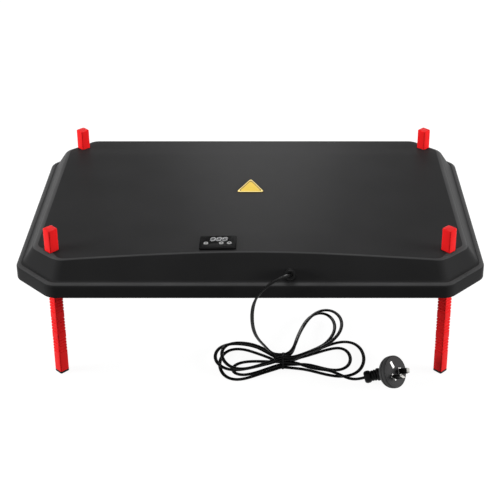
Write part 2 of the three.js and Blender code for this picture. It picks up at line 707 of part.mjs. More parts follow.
// Ring of a leg: a square turned 45 degrees with its corners taken off.
function legRing(height, inset) {
  const half = LEG_SIDE / 2 - inset;
  const chamfer = Math.min(LEG_CORNER, half);
  const turn = ([x, y]) => [(x - y) * Math.SQRT1_2, (x + y) * Math.SQRT1_2];
  const points = [
    [half, chamfer - half], [half, half - chamfer], [half - chamfer, half], [chamfer - half, half],
    [-half, half - chamfer], [-half, chamfer - half], [chamfer - half, -half], [half - chamfer, -half],
  ];
  return { height, points: points.map(turn) };
}

const notchHeights = range(NOTCH_GROUPS).flatMap((group) =>
  range(NOTCHES_PER_GROUP).map((notch) => FIRST_NOTCH + group * GROUP_PITCH + notch * NOTCH_PITCH));
const legSolid = cut(
  stacked([
    legRing(FOOT_SHOWN + GAP, 0),
    ...notchHeights.flatMap((height) => [
      legRing(height - NOTCH_PITCH / 4, 0),
      legRing(height, NOTCH_DEPTH),
      legRing(height + NOTCH_PITCH / 4, 0),
    ]),
    legRing(LEG_TOP - LEG_BEVEL, 0),
    legRing(LEG_TOP, LEG_BEVEL),
  ]),
  turnedBar(FOOT_PLUG_SIDE + 2 * GAP, 0, FOOT_HEIGHT + GAP),
);
const footSolid = union(
  stacked([legRing(0, LEG_BEVEL), legRing(LEG_BEVEL, 0), legRing(FOOT_SHOWN, 0)]),
  turnedBar(FOOT_PLUG_SIDE, LEG_BEVEL, FOOT_HEIGHT),
);
const guideFace = GUIDE_BORE_SIDE / 2 + GUIDE_WALL; // from the leg's axis to the guide's outer face
const guideSolid = cut(
  union(
    turnedBar(2 * guideFace, BASE_TOP + GAP, GUIDE_TOP - GAP),
    turnedBar(2 * (guideFace + GUIDE_FLANGE), BASE_TOP + GAP, BASE_TOP + GAP + GUIDE_FLANGE_THICKNESS),
  ),
  turnedBar(GUIDE_BORE_SIDE, 0, GUIDE_TOP + OVERRUN),
);
const catchSlot = box(
  2 * guideFace, CATCH_WIDTH + 2 * GAP, CATCH_HEIGHT - GAP, CATCH_HEIGHT + CATCH_NOSE_HEIGHT + GAP, guideFace,
);
const catchFoot = BASE_TOP + GUIDE_FLANGE_THICKNESS + 2 * GAP;
const catchSolid = union(
  box(
    guideFace - GUIDE_BORE_SIDE / 2 + 2 * GAP, CATCH_WIDTH, CATCH_HEIGHT, CATCH_HEIGHT + CATCH_NOSE_HEIGHT,
    (guideFace + GUIDE_BORE_SIDE / 2) / 2 + GAP,
  ),
  box(
    CATCH_LEAF_THICKNESS, CATCH_WIDTH, catchFoot, catchFoot + CATCH_LEAF_LENGTH,
    guideFace + GAP + CATCH_LEAF_THICKNESS / 2,
  ),
);
for (const [place, { x, y }] of Object.entries(legPlaces)) {
  const inward = Math.atan2(-Math.sign(y), -Math.sign(x));
  const turnInward = (manifold) => solid(geometryOf(manifold).rotateZ(inward));
  const leg = new THREE.Group();
  leg.position.set(x, y, 0);
  product.add(leg);
  add(leg, `leg_${place}`, legSolid, RED_PLASTIC);
  add(leg, `foot_${place}`, footSolid, BLACK_RUBBER);
  const socket = new THREE.Group();
  socket.position.set(x, y, 0);
  plate.add(socket);
  add(socket, `leg_guide_${place}`, cut(guideSolid, turnInward(catchSlot)), GREY_PANEL);
  add(socket, `leg_catch_${place}`, turnInward(catchSolid), STEEL);
}

// Thermostat panel: bezel, window, display, buttons, switches, board and its screws
const postPlaces = [-1, 1].map((end) => ({
  x: end * (COLLAR_WIDTH / 2 - POST_INSET),
  y: POST_INSET - COLLAR_LENGTH / 2,
}));
const panelTop = GAP + PANEL_THICKNESS;
const snaps = [-1, 1].map((end) => box(
  SNAP_REACH + COLLAR_WALL, COLLAR_LENGTH / 2,
  -COVER_WALL - 2 * GAP - SNAP_HEIGHT, -COVER_WALL - 2 * GAP,
  (end * (COLLAR_WIDTH + SNAP_REACH - COLLAR_WALL)) / 2,
));
add(
  panel,
  "control_panel",
  cut(
    union(
      extruded(roundedRectangle(PANEL_WIDTH, PANEL_DEPTH, PANEL_CORNER), GAP, panelTop),
      cut(
        box(COLLAR_WIDTH, COLLAR_LENGTH, -COLLAR_DEPTH, panelTop - GAP),
        box(COLLAR_WIDTH - 2 * COLLAR_WALL, COLLAR_LENGTH - 2 * COLLAR_WALL, -COLLAR_DEPTH - OVERRUN, GAP),
      ),
      ...snaps,
      ...postPlaces.map(({ x, y }) => cylinder(POST_RADIUS, -COLLAR_DEPTH, panelTop - GAP, x, y)),
    ),
    box(WINDOW_WIDTH, WINDOW_DEPTH, -OVERRUN, panelTop + OVERRUN, WINDOW_X, WINDOW_Y),
    ...Object.values(BUTTONS).map((x) =>
      cylinder(BUTTON_RADIUS + GAP, -OVERRUN, panelTop + OVERRUN, x, BUTTON_Y)),
    ...postPlaces.map(({ x, y }) =>
      cylinder(SMALL_SCREW_RADIUS + GAP, -COLLAR_DEPTH - OVERRUN, SMALL_SCREW_GRIP - COLLAR_DEPTH + GAP, x, y)),
  ),
  DARK_PLASTIC,
);
add(
  panel,
  "display_window",
  union(
    box(WINDOW_WIDTH - 2 * GAP, WINDOW_DEPTH - 2 * GAP, -GAP, panelTop - GAP, WINDOW_X, WINDOW_Y),
    box(
      WINDOW_WIDTH + 2 * WINDOW_LIP, WINDOW_DEPTH - 2 * GAP, -WINDOW_LIP_THICKNESS, 0, WINDOW_X, WINDOW_Y,
    ),
  ),
  BLACK_GLASS,
);
add(
  panel,
  "led_display",
  box(
    WINDOW_WIDTH - 2 * GAP, WINDOW_DEPTH - 2 * GAP,
    PANEL_BOARD_TOP + GAP, -WINDOW_LIP_THICKNESS - GAP, WINDOW_X, WINDOW_Y,
  ),
  WHITE_PLASTIC,
);
const switchTop = PANEL_BOARD_TOP + GAP + SWITCH_HEIGHT;
for (const [name, x] of Object.entries(BUTTONS)) {
  add(
    panel,
    name,
    union(
      turned([
        [0, -BUTTON_LIP_THICKNESS], [BUTTON_RADIUS, -BUTTON_LIP_THICKNESS],
        [BUTTON_RADIUS, panelTop + BUTTON_PROUD / 2],
        [BUTTON_RADIUS - BUTTON_PROUD / 2, panelTop + BUTTON_PROUD],
        [0, panelTop + BUTTON_PROUD],
      ]),
      cylinder(BUTTON_RADIUS + BUTTON_LIP, -BUTTON_LIP_THICKNESS, 0),
      cylinder(BUTTON_STEM_RADIUS, switchTop + BUTTON_TRAVEL + GAP, 0),
    ),
    LIGHT_GREY,
  ).position.set(x, BUTTON_Y, 0);
  add(
    panel,
    name.replace("button", "switch"),
    box(SWITCH_SIDE, SWITCH_SIDE, PANEL_BOARD_TOP + GAP, switchTop, x, BUTTON_Y),
    DARK_PLASTIC,
  );
}
const panelBoardFoot = PANEL_BOARD_TOP - BOARD_THICKNESS;
add(
  panel,
  "control_board",
  cut(
    box(COLLAR_WIDTH, COLLAR_LENGTH, panelBoardFoot, PANEL_BOARD_TOP),
    ...postPlaces.map(({ x, y }) =>
      cylinder(SMALL_SCREW_RADIUS + GAP, panelBoardFoot - OVERRUN, PANEL_BOARD_TOP + OVERRUN, x, y)),
  ),
  CIRCUIT_GREEN,
);
postPlaces.forEach(({ x, y }, index) => {
  const headTop = panelBoardFoot - GAP;
  add(
    panel,
    `panel_screw_${index + 1}`,
    union(
      cylinder(SMALL_HEAD_RADIUS, headTop - SMALL_HEAD_HEIGHT, headTop, x, y, SCREW_SIDES),
      cylinder(SMALL_SCREW_RADIUS, headTop - GAP, SMALL_SCREW_GRIP - COLLAR_DEPTH, x, y, SCREW_SIDES),
    ),
    STEEL,
  );
});

// Power board with its relay and terminal block
const powerFoot = BASE_TOP + POWER_POST_HEIGHT + GAP;
const powerTop = powerFoot + BOARD_THICKNESS;
add(
  plate,
  "power_board",
  cut(
    box(POWER_WIDTH, POWER_DEPTH, powerFoot, powerTop, POWER_X, POWER_Y),
    ...powerScrewPlaces.map(({ x, y }) =>
      cylinder(SMALL_SCREW_RADIUS + GAP, powerFoot - OVERRUN, powerTop + OVERRUN, x, y)),
  ),
  CIRCUIT_GREEN,
);
powerScrewPlaces.forEach(({ x, y }, index) => {
  add(
    plate,
    `power_screw_${index + 1}`,
    union(
      cylinder(SMALL_HEAD_RADIUS, powerTop + GAP, powerTop + GAP + SMALL_HEAD_HEIGHT, x, y, SCREW_SIDES),
      cylinder(
        SMALL_SCREW_RADIUS, powerFoot - POWER_POST_HEIGHT + OVERRUN, powerTop + 2 * GAP, x, y, SCREW_SIDES,
      ),
    ),
    STEEL,
  );
});
add(
  plate,
  "relay",
  box(
    RELAY_WIDTH, RELAY_DEPTH, powerTop + GAP, powerTop + GAP + RELAY_HEIGHT,
    POWER_X + (RELAY_WIDTH + PARTS_SPACING) / 2, POWER_Y,
  ),
  DARK_PLASTIC,
);
add(
  plate,
  "terminal_block",
  box(
    TERMINAL_WIDTH, TERMINAL_DEPTH, powerTop + GAP, powerTop + GAP + TERMINAL_HEIGHT,
    POWER_X - (TERMINAL_WIDTH + PARTS_SPACING) / 2, POWER_Y,
  ),
  WHITE_PLASTIC,
);

// Badge
const badge = topFrame(BADGE_X, BADGE_Y);

// A triangle with its point to +Y and round corners, centred on its bounding box.
function triangle(width, depth, radius) {
  const half = Math.atan2(width / 2, depth);
  const base = (Math.PI / 2 - half) / 2;
  const top = depth / 2 - radius / Math.sin(half) + radius / Math.sin(half) - radius;
  const side = width / 2 - radius / Math.tan(base);
  const shape = new THREE.Shape();
  shape.absarc(side, -depth / 2 + radius, radius, -Math.PI / 2, half);
  shape.absarc(0, top, radius, half, Math.PI - half);
  shape.absarc(-side, -depth / 2 + radius, radius, Math.PI - half, 1.5 * Math.PI);
  return shape;
}

add(
  badge,
  "badge",
  extruded(triangle(BADGE_WIDTH, BADGE_DEPTH, BADGE_CORNER), GAP, GAP + BADGE_THICKNESS),
  YELLOW_LABEL,
);

// Gland and its nut
add(
  gland,
  "cord_gland",
  turned([
    [0, -GLAND_TAIL_LENGTH], [GLAND_SHANK_RADIUS, -GLAND_TAIL_LENGTH], [GLAND_SHANK_RADIUS, GAP],
    [GLAND_FLANGE_RADIUS, GAP], [GLAND_FLANGE_RADIUS, GAP + GLAND_FLANGE_THICKNESS],
    [GLAND_HEAD_RADIUS, GAP + GLAND_FLANGE_THICKNESS],
    [GLAND_HEAD_RADIUS, GLAND_HEAD_LENGTH - GLAND_TAPER_LENGTH], [GLAND_TIP_RADIUS, GLAND_HEAD_LENGTH],
    [0, GLAND_HEAD_LENGTH],
  ]),
  BLACK_PLASTIC,
);
const nutTop = -COVER_WALL - 2 * GAP;
add(
  gland,
  "gland_nut",
  cut(
    cylinder(NUT_ACROSS_FLATS / Math.sqrt(3), nutTop - NUT_THICKNESS, nutTop, 0, 0, 6),
    cylinder(GLAND_SHANK_RADIUS + GAP, nutTop - NUT_THICKNESS - OVERRUN, nutTop + OVERRUN),
  ),
  BLACK_PLASTIC,
);

// Cord: the free stretches
function ovalSection() {
  const shape = new THREE.Shape();
  shape.absellipse(0, 0, CORD_THICKNESS / 2, CORD_WIDTH / 2, 0, 2 * Math.PI);
  return new THREE.Shape(shape.getPoints(CORD_SIDES).slice(0, CORD_SIDES));
}

function stretch(points, steps) {
  const path = new THREE.CatmullRomCurve3(points.map(([x, y, z]) => new THREE.Vector3(x, y, z)));
  return solid(new THREE.ExtrudeGeometry(ovalSection(), { steps, bevelEnabled: false, extrudePath: path }));
}

add(product, "cord_drop", stretch(DROP_POINTS, DROP_STEPS), CORD_PLASTIC);
add(product, "cord_tail", stretch(TAIL_POINTS, TAIL_STEPS), CORD_PLASTIC);

// Cord: the hank

const smooth = (share) => {
  const held = Math.min(Math.max(share, 0), 1);
  return held * held * (3 - 2 * held);
};

const slotHeight = (level) => FLOOR_LEVEL + WAIST_LIFT + level * LEVEL_PITCH;

// Point of a lobe at the share t of its way round, from the end of one pass to the start of the next.
function lobePoint(index, t) {
  const lobe = LOBES[index];
  const [from, to] = [PASSES[index], PASSES[index + 1]];
  const side = index % 2 ? -1 : 1;
  const angle = 2 * Math.PI * t;
  const along = (lobe.reach * (1 - Math.cos(angle))) / 2;
  const opening = Math.sin(angle) * Math.sin(angle / 2) ** lobe.fullness;
  const widest = Math.acos(-lobe.fullness / (lobe.fullness + 2));
  const fullOpening = Math.sin(widest) * Math.sin(widest / 2) ** lobe.fullness;
  const swing = lobe.lean * Math.sin(angle / 2) ** (2 + lobe.fullness);
  const across = ((side * lobe.width) / 2) * (opening / fullOpening + swing);
  const turn = THREE.MathUtils.degToRad(lobe.tilt) * (1 - Math.exp(-along / lobe.bend));
  const near = Math.exp(-((along / SLOT_FADE) ** 2));
  const column = from.column + (to.column - from.column) * smooth(t);
  const climb = t > 0.5 ? 1 - smooth(along / CLIMB_END) : 0;
  const level = from.level + (to.level - from.level) * climb;
  const droop = smooth((along - DROOP_START) / (DROOP_END - DROOP_START));
  const farHeight = FLOOR_LEVEL + lobe.farLevel * LEVEL_PITCH;
  return new THREE.Vector3(
    WAIST_X + side * (WAIST_HALF_LENGTH + along * Math.cos(turn) - across * Math.sin(turn)),
    WAIST_Y + along * Math.sin(turn) + across * Math.cos(turn) + column * COLUMN_PITCH * near,
    slotHeight(level) + (farHeight - slotHeight(level)) * droop,
  );
}

function hankPoints() {
  const points = [];
  PASSES.forEach(({ column, level }, index) => {
    const direction = index % 2 ? -1 : 1;
    for (const end of [-1, 1]) {
      points.push(new THREE.Vector3(
        WAIST_X + direction * end * WAIST_HALF_LENGTH, WAIST_Y + column * COLUMN_PITCH, slotHeight(level),
      ));
    }
    if (index === LOBES.length) return;
    for (const sample of range(LOBE_SAMPLES).slice(1)) points.push(lobePoint(index, sample / LOBE_SAMPLES));
  });
  return points;
}

// A flat tube of HANK_SIDES sides that lies flat along a line of points.
function flatTube(points) {
  const vertices = [];
  const up = new THREE.Vector3(0, 0, 1);
  points.forEach((point, index) => {
    const before = points[Math.max(index - 1, 0)];
    const after = points[Math.min(index + 1, points.length - 1)];
    const tangent = after.clone().sub(before).normalize();
    const aside = tangent.clone().cross(up).normalize();
    const lift = aside.clone().cross(tangent);
    for (const corner of range(HANK_SIDES)) {
      const angle = (2 * Math.PI * corner) / HANK_SIDES;
      const vertex = point.clone()
        .addScaledVector(aside, (Math.cos(angle) * CORD_WIDTH) / 2)
        .addScaledVector(lift, (Math.sin(angle) * CORD_THICKNESS) / 2);
      vertices.push(vertex);
    }
  });
  const faces = [];
  for (let ring = 0; ring + 1 < points.length; ring++) {
    for (const corner of range(HANK_SIDES)) {
      const [a, b] = [ring * HANK_SIDES + corner, ring * HANK_SIDES + ((corner + 1) % HANK_SIDES)];
      faces.push(a, b + HANK_SIDES, b, a, a + HANK_SIDES, b + HANK_SIDES);
    }
  }
  const last = (points.length - 1) * HANK_SIDES;
  for (let corner = 1; corner + 1 < HANK_SIDES; corner++) {
    faces.push(0, corner, corner + 1, last, last + corner + 1, last + corner);
  }
  return { vertices, geometry: indexed(vertices.flatMap((vertex) => vertex.toArray()), faces) };
}

// Points at even steps along a fine line, LOOP_STEPS to a lobe.
function evenly(line) {
  const path = new THREE.CurvePath();
  line.slice(1).forEach((point, index) => path.add(new THREE.LineCurve3(line[index], point)));
  const steps = LOOP_STEPS * LOBES.length;
  return path.getSpacedPoints(steps);
}

const hankRoute = hankPoints();
const hankLine = [hankRoute[0], ...evenly(hankRoute.slice(1, -1)), hankRoute.at(-1)];
const hank = flatTube(hankLine);
add(product, "cord_hank", solid(hank.geometry), CORD_PLASTIC);

// Least distance between two rings of the hank that are far apart along the cord.
function leastHankGap() {
  const rings = range(hankLine.length).map((ring) =>
    hank.vertices.slice(ring * HANK_SIDES, (ring + 1) * HANK_SIDES));
  const apart = 3;
  let least = Infinity;
  rings.forEach((ring, index) => rings.slice(index + apart).forEach((other) => {
    for (const vertex of ring) for (const point of other) least = Math.min(least, vertex.distanceTo(point));
  }));
  return least;
}

console.log(`least gap of the hank to itself ${leastHankGap().toFixed(2)} mm`);

// Tie round the bundle, with its two ends twisted into an ear
const bundleColumns = PASSES.map(({ column }) => column * COLUMN_PITCH);
const bundleLow = WAIST_Y + Math.min(...bundleColumns) - CORD_WIDTH / 2 - TIE_SLACK;
const bundleHigh = WAIST_Y + Math.max(...bundleColumns) + CORD_WIDTH / 2 + TIE_SLACK;
const bundleTop = slotHeight(Math.max(...PASSES.map(({ level }) => level))) + CORD_THICKNESS / 2 + TIE_SLACK;
const tieMiddle = (bundleLow + bundleHigh) / 2;
const tieFloor = FLOOR_CLEARANCE / 2;
add(
  product,
  "hank_tie",
  union(
    cut(
      box(
        TIE_WIDTH, bundleHigh - bundleLow + 2 * TIE_THICKNESS, tieFloor, bundleTop + TIE_THICKNESS,
        WAIST_X, tieMiddle,
      ),
      box(
        TIE_WIDTH + OVERRUN, bundleHigh - bundleLow, tieFloor + TIE_THICKNESS, bundleTop, WAIST_X, tieMiddle,
      ),
    ),
    box(
      TIE_EAR_THICKNESS, TIE_EAR_THICKNESS, bundleTop + TIE_THICKNESS / 2, bundleTop + TIE_EAR_LENGTH,
      WAIST_X, tieMiddle - TIE_EAR_THICKNESS,
    ),
  ),
  BLACK_RUBBER,
);

// Plug

// A frame at a place whose Z points along a heading and a rise, in degrees.
function aimedFrame(x, y, z, heading, rise) {
  const group = new THREE.Group();
  group.position.set(x, y, z);
  group.rotation.order = "ZYX";
  group.rotation.set(0, Math.PI / 2 - THREE.MathUtils.degToRad(rise), THREE.MathUtils.degToRad(heading));
  group.updateMatrix();
  product.add(group);
  return group;
}

const bend = new THREE.Vector3(PLUG_X, PLUG_Y, PLUG_Z);
const plugFace = aimedFrame(...bend, PLUG_HEADING, PLUG_RISE);
plugFace.rotateZ(THREE.MathUtils.degToRad(PLUG_ROLL));
plugFace.updateMatrix();
const boot = aimedFrame(...bend, BOOT_HEADING, BOOT_RISE);
boot.translateZ(-BOOT_REACH);
boot.updateMatrix();
const ribStart = BOOT_COLLAR_LENGTH + BOOT_RIB_PITCH / 2;
add(
  boot,
  "plug_boot",
  turned([
    [0, 0], [BOOT_RADIUS - GAP, 0], [BOOT_RADIUS, GAP], [BOOT_RADIUS, BOOT_COLLAR_LENGTH],
    [BOOT_NECK_RADIUS, BOOT_COLLAR_LENGTH + GAP],
    ...range(BOOT_RIBS).flatMap((rib) => {
      const foot = ribStart + rib * BOOT_RIB_PITCH;
      return [
        [BOOT_NECK_RADIUS, foot], [BOOT_RIB_RADIUS, foot + GAP],
        [BOOT_RIB_RADIUS, foot + BOOT_RIB_PITCH / 2], [BOOT_NECK_RADIUS, foot + BOOT_RIB_PITCH / 2 + GAP],
      ];
    }),
    [BOOT_NECK_RADIUS, BOOT_LENGTH - GAP], [0, BOOT_LENGTH - GAP],
  ], 16),
  DARK_PLASTIC,
);
const face = BODY_SHOULDER_LENGTH + FLANGE_THICKNESS;
const pinPlaces = [-1, 1].map((side) => THREE.MathUtils.degToRad(side * PIN_ANGLE));
// A bar with its middle on a circle about the plug's axis; a pin lies across the radius, the blank along it.
function faceBar(across, along, circle, low, high, angle) {
  const geometry = new THREE.BoxGeometry(along, across, high - low);
  return solid(geometry.translate(circle, 0, (low + high) / 2).rotateZ(angle));
}
const sleeves = pinPlaces.map((angle) => faceBar(
  PIN_WIDTH + 2 * SLEEVE_WALL + 2 * GAP, PIN_THICKNESS + 2 * SLEEVE_WALL + 2 * GAP, PIN_CIRCLE,
  face - OVERRUN, face + SLEEVE_LENGTH, angle,
));
const pinPockets = pinPlaces.map((angle) => faceBar(
  PIN_WIDTH + 2 * GAP, PIN_THICKNESS + 2 * GAP, PIN_CIRCLE,
  face - PIN_ROOT - GAP, face + SLEEVE_LENGTH + OVERRUN, angle,
));
const blankPocket = faceBar(
  PIN_THICKNESS + 2 * GAP, PIN_WIDTH + 2 * GAP, BLANK_CIRCLE, face - PIN_ROOT - GAP, face + OVERRUN, 0,
);
const bodyInFace = cut(
  union(
    turned([
      [0, 0], [BODY_NECK_RADIUS, 0],
      [BODY_SHOULDER_RADIUS, BODY_SHOULDER_LENGTH - GAP],
      [FLANGE_RADIUS - FLANGE_ROUNDING, BODY_SHOULDER_LENGTH],
      [FLANGE_RADIUS, BODY_SHOULDER_LENGTH + FLANGE_ROUNDING], [FLANGE_RADIUS, face - FLANGE_ROUNDING / 2],
      [FLANGE_RADIUS - FLANGE_ROUNDING / 2, face], [0, face],
    ], 32),
    ...sleeves,
  ),
  ...pinPockets, blankPocket,
);
const neckInBoot = cylinder(BODY_NECK_RADIUS - GAP, BOOT_LENGTH, BOOT_REACH + BODY_NECK_OVERLAP);
add(product, "plug_body", union(moved(bodyInFace, plugFace), moved(neckInBoot, boot)), DARK_PLASTIC);
pinPlaces.forEach((angle, index) => add(
  plugFace,
  `plug_pin_${index + 1}`,
  faceBar(PIN_WIDTH, PIN_THICKNESS, PIN_CIRCLE, face - PIN_ROOT, face + PIN_LENGTH, angle),
  BRASS,
));
add(
  plugFace,
  "plug_blank",
  faceBar(PIN_THICKNESS, PIN_WIDTH, BLANK_CIRCLE, face - PIN_ROOT, face + BLANK_PROUD, 0),
  WHITE_PLASTIC,
);

export default product;
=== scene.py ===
"""Looks of the heated brooder plate, in metres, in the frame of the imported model.

Shapes are worked out in millimetres as numpy grids of points and put into meshes in metres.
"""
import math

import bpy
import bmesh
import numpy as np
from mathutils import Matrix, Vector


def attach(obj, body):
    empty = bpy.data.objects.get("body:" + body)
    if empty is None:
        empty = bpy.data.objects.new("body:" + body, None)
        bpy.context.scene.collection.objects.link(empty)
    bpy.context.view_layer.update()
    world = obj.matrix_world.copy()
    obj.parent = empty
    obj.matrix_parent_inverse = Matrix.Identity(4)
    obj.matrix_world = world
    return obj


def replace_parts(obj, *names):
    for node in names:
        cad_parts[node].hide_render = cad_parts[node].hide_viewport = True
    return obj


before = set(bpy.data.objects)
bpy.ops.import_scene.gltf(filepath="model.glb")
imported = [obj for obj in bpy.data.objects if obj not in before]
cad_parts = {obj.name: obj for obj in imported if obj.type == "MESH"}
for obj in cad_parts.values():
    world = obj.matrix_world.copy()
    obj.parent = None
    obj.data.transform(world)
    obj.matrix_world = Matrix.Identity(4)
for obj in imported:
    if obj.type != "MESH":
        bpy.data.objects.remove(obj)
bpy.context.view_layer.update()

MM = 0.001

# Cover, measured from the lower edge of its skirt
STAND_HEIGHT = 142
PLATE_WIDTH = 600
PLATE_DEPTH = 400
SKIRT_HEIGHT = 15.3
SKIRT_CUT = 49
SKIRT_RADIUS = 22
SHOULDER_RADIUS = 3.7
CROWN_WIDTH = 6.2
LEDGE_HEIGHT = SKIRT_HEIGHT + SHOULDER_RADIUS
CREASE_HALF_WIDTH = 292
CREASE_HALF_DEPTH = 192
CREASE_CUT = 48
CREASE_RADIUS = 20
WALL_RISE = 24
WALL_RUN_SIDE = 16
WALL_RUN_FRONT = 13.85
CREST_CUT = 37
CREST_RADIUS = 15
WALL_TOP = 60
RIDGE_HEIGHT = 51.4
RIDGE_SOFTNESS = 125
RIDGE_FALL_SHARE = 0.0595
BACK_CREASE_HEIGHT = 46
BACK_CREASE_Y = 124.7
BACK_FALL_SHARE = 0.063
FRONT_CREST_Y = -(CREASE_HALF_DEPTH - WALL_RUN_FRONT * (RIDGE_HEIGHT - LEDGE_HEIGHT) / WALL_RISE)
CREASE_SOFTNESS = 0.25
CREST_BEND = 5.5
CREST_BEND_LESS = 3.4
LEDGE_BEND_SHARE = 0.6
FOOT_BEND_SHARE = 0.055
SHELL_THICKNESS = 1.6
SIDE_STEPS = (20, 8, 44, 8, 20, 8, 44, 8)
CORNER_STEPS = 6
SHOULDER_STEPS = 8
WALL_STEPS = 5
CREST_STEPS = 8
TOP_STEPS = 55

# Legs
LEG_X = 251.5
LEG_Y = 151.5
LEG_SIDE = 13.5
LEG_CORNER = 1.9
LEG_END_BEND = 1.1
LEG_TOP = 215
LEG_PLAY = 0.8
NOTCH_DEPTH = 0.9
NOTCH_HALF_WIDTH = 1.15
FIRST_NOTCH = 33.5
NOTCH_PITCH = 4.6
NOTCHES_PER_GROUP = 5
NOTCH_GROUPS = 5
GROUP_PITCH = 30.6
FOOT_SHOWN = 2.6
FOOT_BEND = 0.5

# Places and directions of the tilted pieces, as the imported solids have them
PANEL_PLACE = (-40.4, -150.5, 192.637)
PANEL_NORMAL = (-0.01687, 0.01684, 0.99972)
BADGE_PLACE = (-2.0, 17.5, 189.942)
BADGE_NORMAL = (-0.00034, 0.01811, 0.99984)
GLAND_PLACE = (50.5, -187.614, 168.6)
GLAND_NORMAL = (0.0, -0.86613, 0.49983)
PLUG_BEND = (176.4, -177.45, 13.9)
PLUG_HEADING = -40.6
PLUG_RISE = 29
PLUG_ROLL = 187
BOOT_HEADING = 6
BOOT_RISE = 11.6
BOOT_REACH = 27

# Thermostat panel, measured on its face
PANEL_OPENING = (45, 32.7)
BUTTON_ROW_Y = -2.5
BUTTON_X = {"button_set": -15.2, "button_down": 4.2, "button_up": 14.4}
DIGIT_ROW_Y = 8.9
DIGIT_X = (-6.6, 1.0, 8.6)
DIGIT_WIDTH = 5.3
DIGIT_HEIGHT = 8.6
DIGIT_STROKE = 1.6
DIGIT_LEAN_SHARE = 0.12
DIGIT_LEVELS = (1.36, 1.46)

# Plug: pieces on a circle about its axis, by length, width and the circle's radius
BLANK_BAR = (9.8, 4.2, 10.6)
PIN_BAR = (1.6, 6.35, 7.92)
SLEEVE_BAR = (2.9, 7.5, 7.92)
# White plates at the pin roots show as light edges round the sleeves: a painted highlight for the glints on
# their rims
ROOT_GLINT_BAR = (5.2, 9.6, 7.92)
PIN_ANGLES = (-120, 120)

# Camera, in metres and degrees, as solved from the photograph
CAMERA_PLACE = (0.03036, -1.54162, 0.97295)
CAMERA_PITCH = 26.202
CAMERA_LENS = 90.58
CAMERA_SHIFT = (-0.0479, -0.149)

# Cord
CORD_WIDTH = 4.8
CORD_THICKNESS = 3
STRAND_GAP = 1.15
FLOOR_CLEARANCE = 0.2
WAIST = (42.3, -140.5)
WAIST_HALF_LENGTH = 2.5
WAIST_LIFT = 1.1
DROP_POINTS = (
    (50.5, -198.25, 174.75), (50.3, -202.6, 177.2), (48.1, -206.8, 179.1), (43.6, -210.3, 179.6),
    (36.6, -213, 177.7), (29.4, -214.3, 174), (22.9, -214.6, 168.9), (16.8, -214.2, 162.4),
    (11.8, -213, 155), (7.4, -210.6, 146), (4.6, -207.2, 135), (3.1, -202.5, 122), (2.8, -196.4, 107.5),
    (3.6, -189.2, 93), (5.6, -180.4, 78), (8.9, -170.6, 63.6), (13.4, -160.4, 50), (18, -151, 38),
    (21.8, -144.3, 28.6), (25.6, -139.8, 21.6), (29.8, -137.9, 17), (34, -137.55, 15.4),
    (37.2, -137.52, 15.25), (39.45, -137.52, 15.25),
)
TAIL_POINTS = (
    (45.15, -143.48, 6.95), (48.2, -143.5, 6.97), (57, -146.1, 8.1), (65, -150.3, 8.6), (73.3, -154.5, 7.8),
    (85.1, -158, 6.7), (97.7, -160.5, 6.5), (106, -163.4, 6.5), (114.1, -169, 6.4), (122.4, -173.7, 5.3),
    (130.7, -176.4, 3.6), (138, -179.2, 4.9), (144.6, -180.72, 7.2), (149.7, -180.26, 8.39),
)
# Column and level of each pass through the tie
PASSES = ((0.5, 3), (-0.5, 3), (0.5, 2), (-0.5, 2), (0.5, 1), (-0.5, 0), (0.5, 0), (-1.5, 0), (-0.5, 1))
# Reach, width, tilt in degrees, bend, fullness, lean and far level of each lobe
LOBES = (
    (129.84, 56.97, 42.07, 17.48, 1.21, 1.31, 2.2), (78.72, 61.44, -3.73, 9, 1.24, -0.49, 2.2),
    (124.58, 50.35, 45.05, 14.12, 1.37, 1.51, 1.1), (89.76, 61.25, 8.49, 55.9, 1.14, -0.23, 1.05),
    (89.96, 50.79, 8.51, 60, 2.65, 0.33, 0), (65.74, 28.81, -11.9, 9, 1.64, 0.06, 0),
    (107.82, 79.84, 3.5, 9, 1.84, 0.35, 0), (82.03, 70.98, -1.3, 10.13, 1.5, -0.07, 0),
)
SLOT_FADE = 24
DROOP_START = 22
DROOP_END = 74
CLIMB_END = 40
CORD_STEP = 2.2


# Surfaces

def put(name, vertices, faces, body, material, sharp_degrees=35):
    """A mesh object from points in millimetres, in the row frame, riding on a body."""
    mesh = bpy.data.meshes.new(name)
    mesh.from_pydata((np.asarray(vertices, float) * MM).tolist(), [], [list(map(int, f)) for f in faces])
    return dress(name, mesh, body, material, sharp_degrees)


def dress(name, mesh, body, material, sharp_degrees=35):
    """Merges doubled points, smooths the faces, keeps sharp edges, and adds the object."""
    work = bmesh.new()
    work.from_mesh(mesh)
    bmesh.ops.remove_doubles(work, verts=work.verts, dist=1e-6)
    work.to_mesh(mesh)
    work.free()
    mesh.shade_smooth()
    mesh.set_sharp_from_angle(angle=math.radians(sharp_degrees))
    mesh.materials.append(material)
    made = bpy.data.objects.new(name, mesh)
    bpy.context.scene.collection.objects.link(made)
    if body:
        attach(made, body)
    return made


def tube_faces(rows, columns):
    """Quads of a grid that is closed around its columns, and a face over each end."""
    row = np.arange(rows - 1)[:, None] * columns
    here = np.arange(columns)[None]
    after = (here + 1) % columns
    above = row + columns
    quads = np.stack([row + here, row + after, above + after, above + here], -1)
    first = np.arange(columns)[::-1]
    last = (rows - 1) * columns + np.arange(columns)
    return [*quads.reshape(-1, 4), first, last]


def tube(name, grid, body, material, sharp_degrees=35):
    """A closed piece from a grid of rings, each ring anticlockwise as seen from the last ring."""
    rows, columns = grid.shape[:2]
    return put(name, grid.reshape(-1, 3), tube_faces(rows, columns), body, material, sharp_degrees)


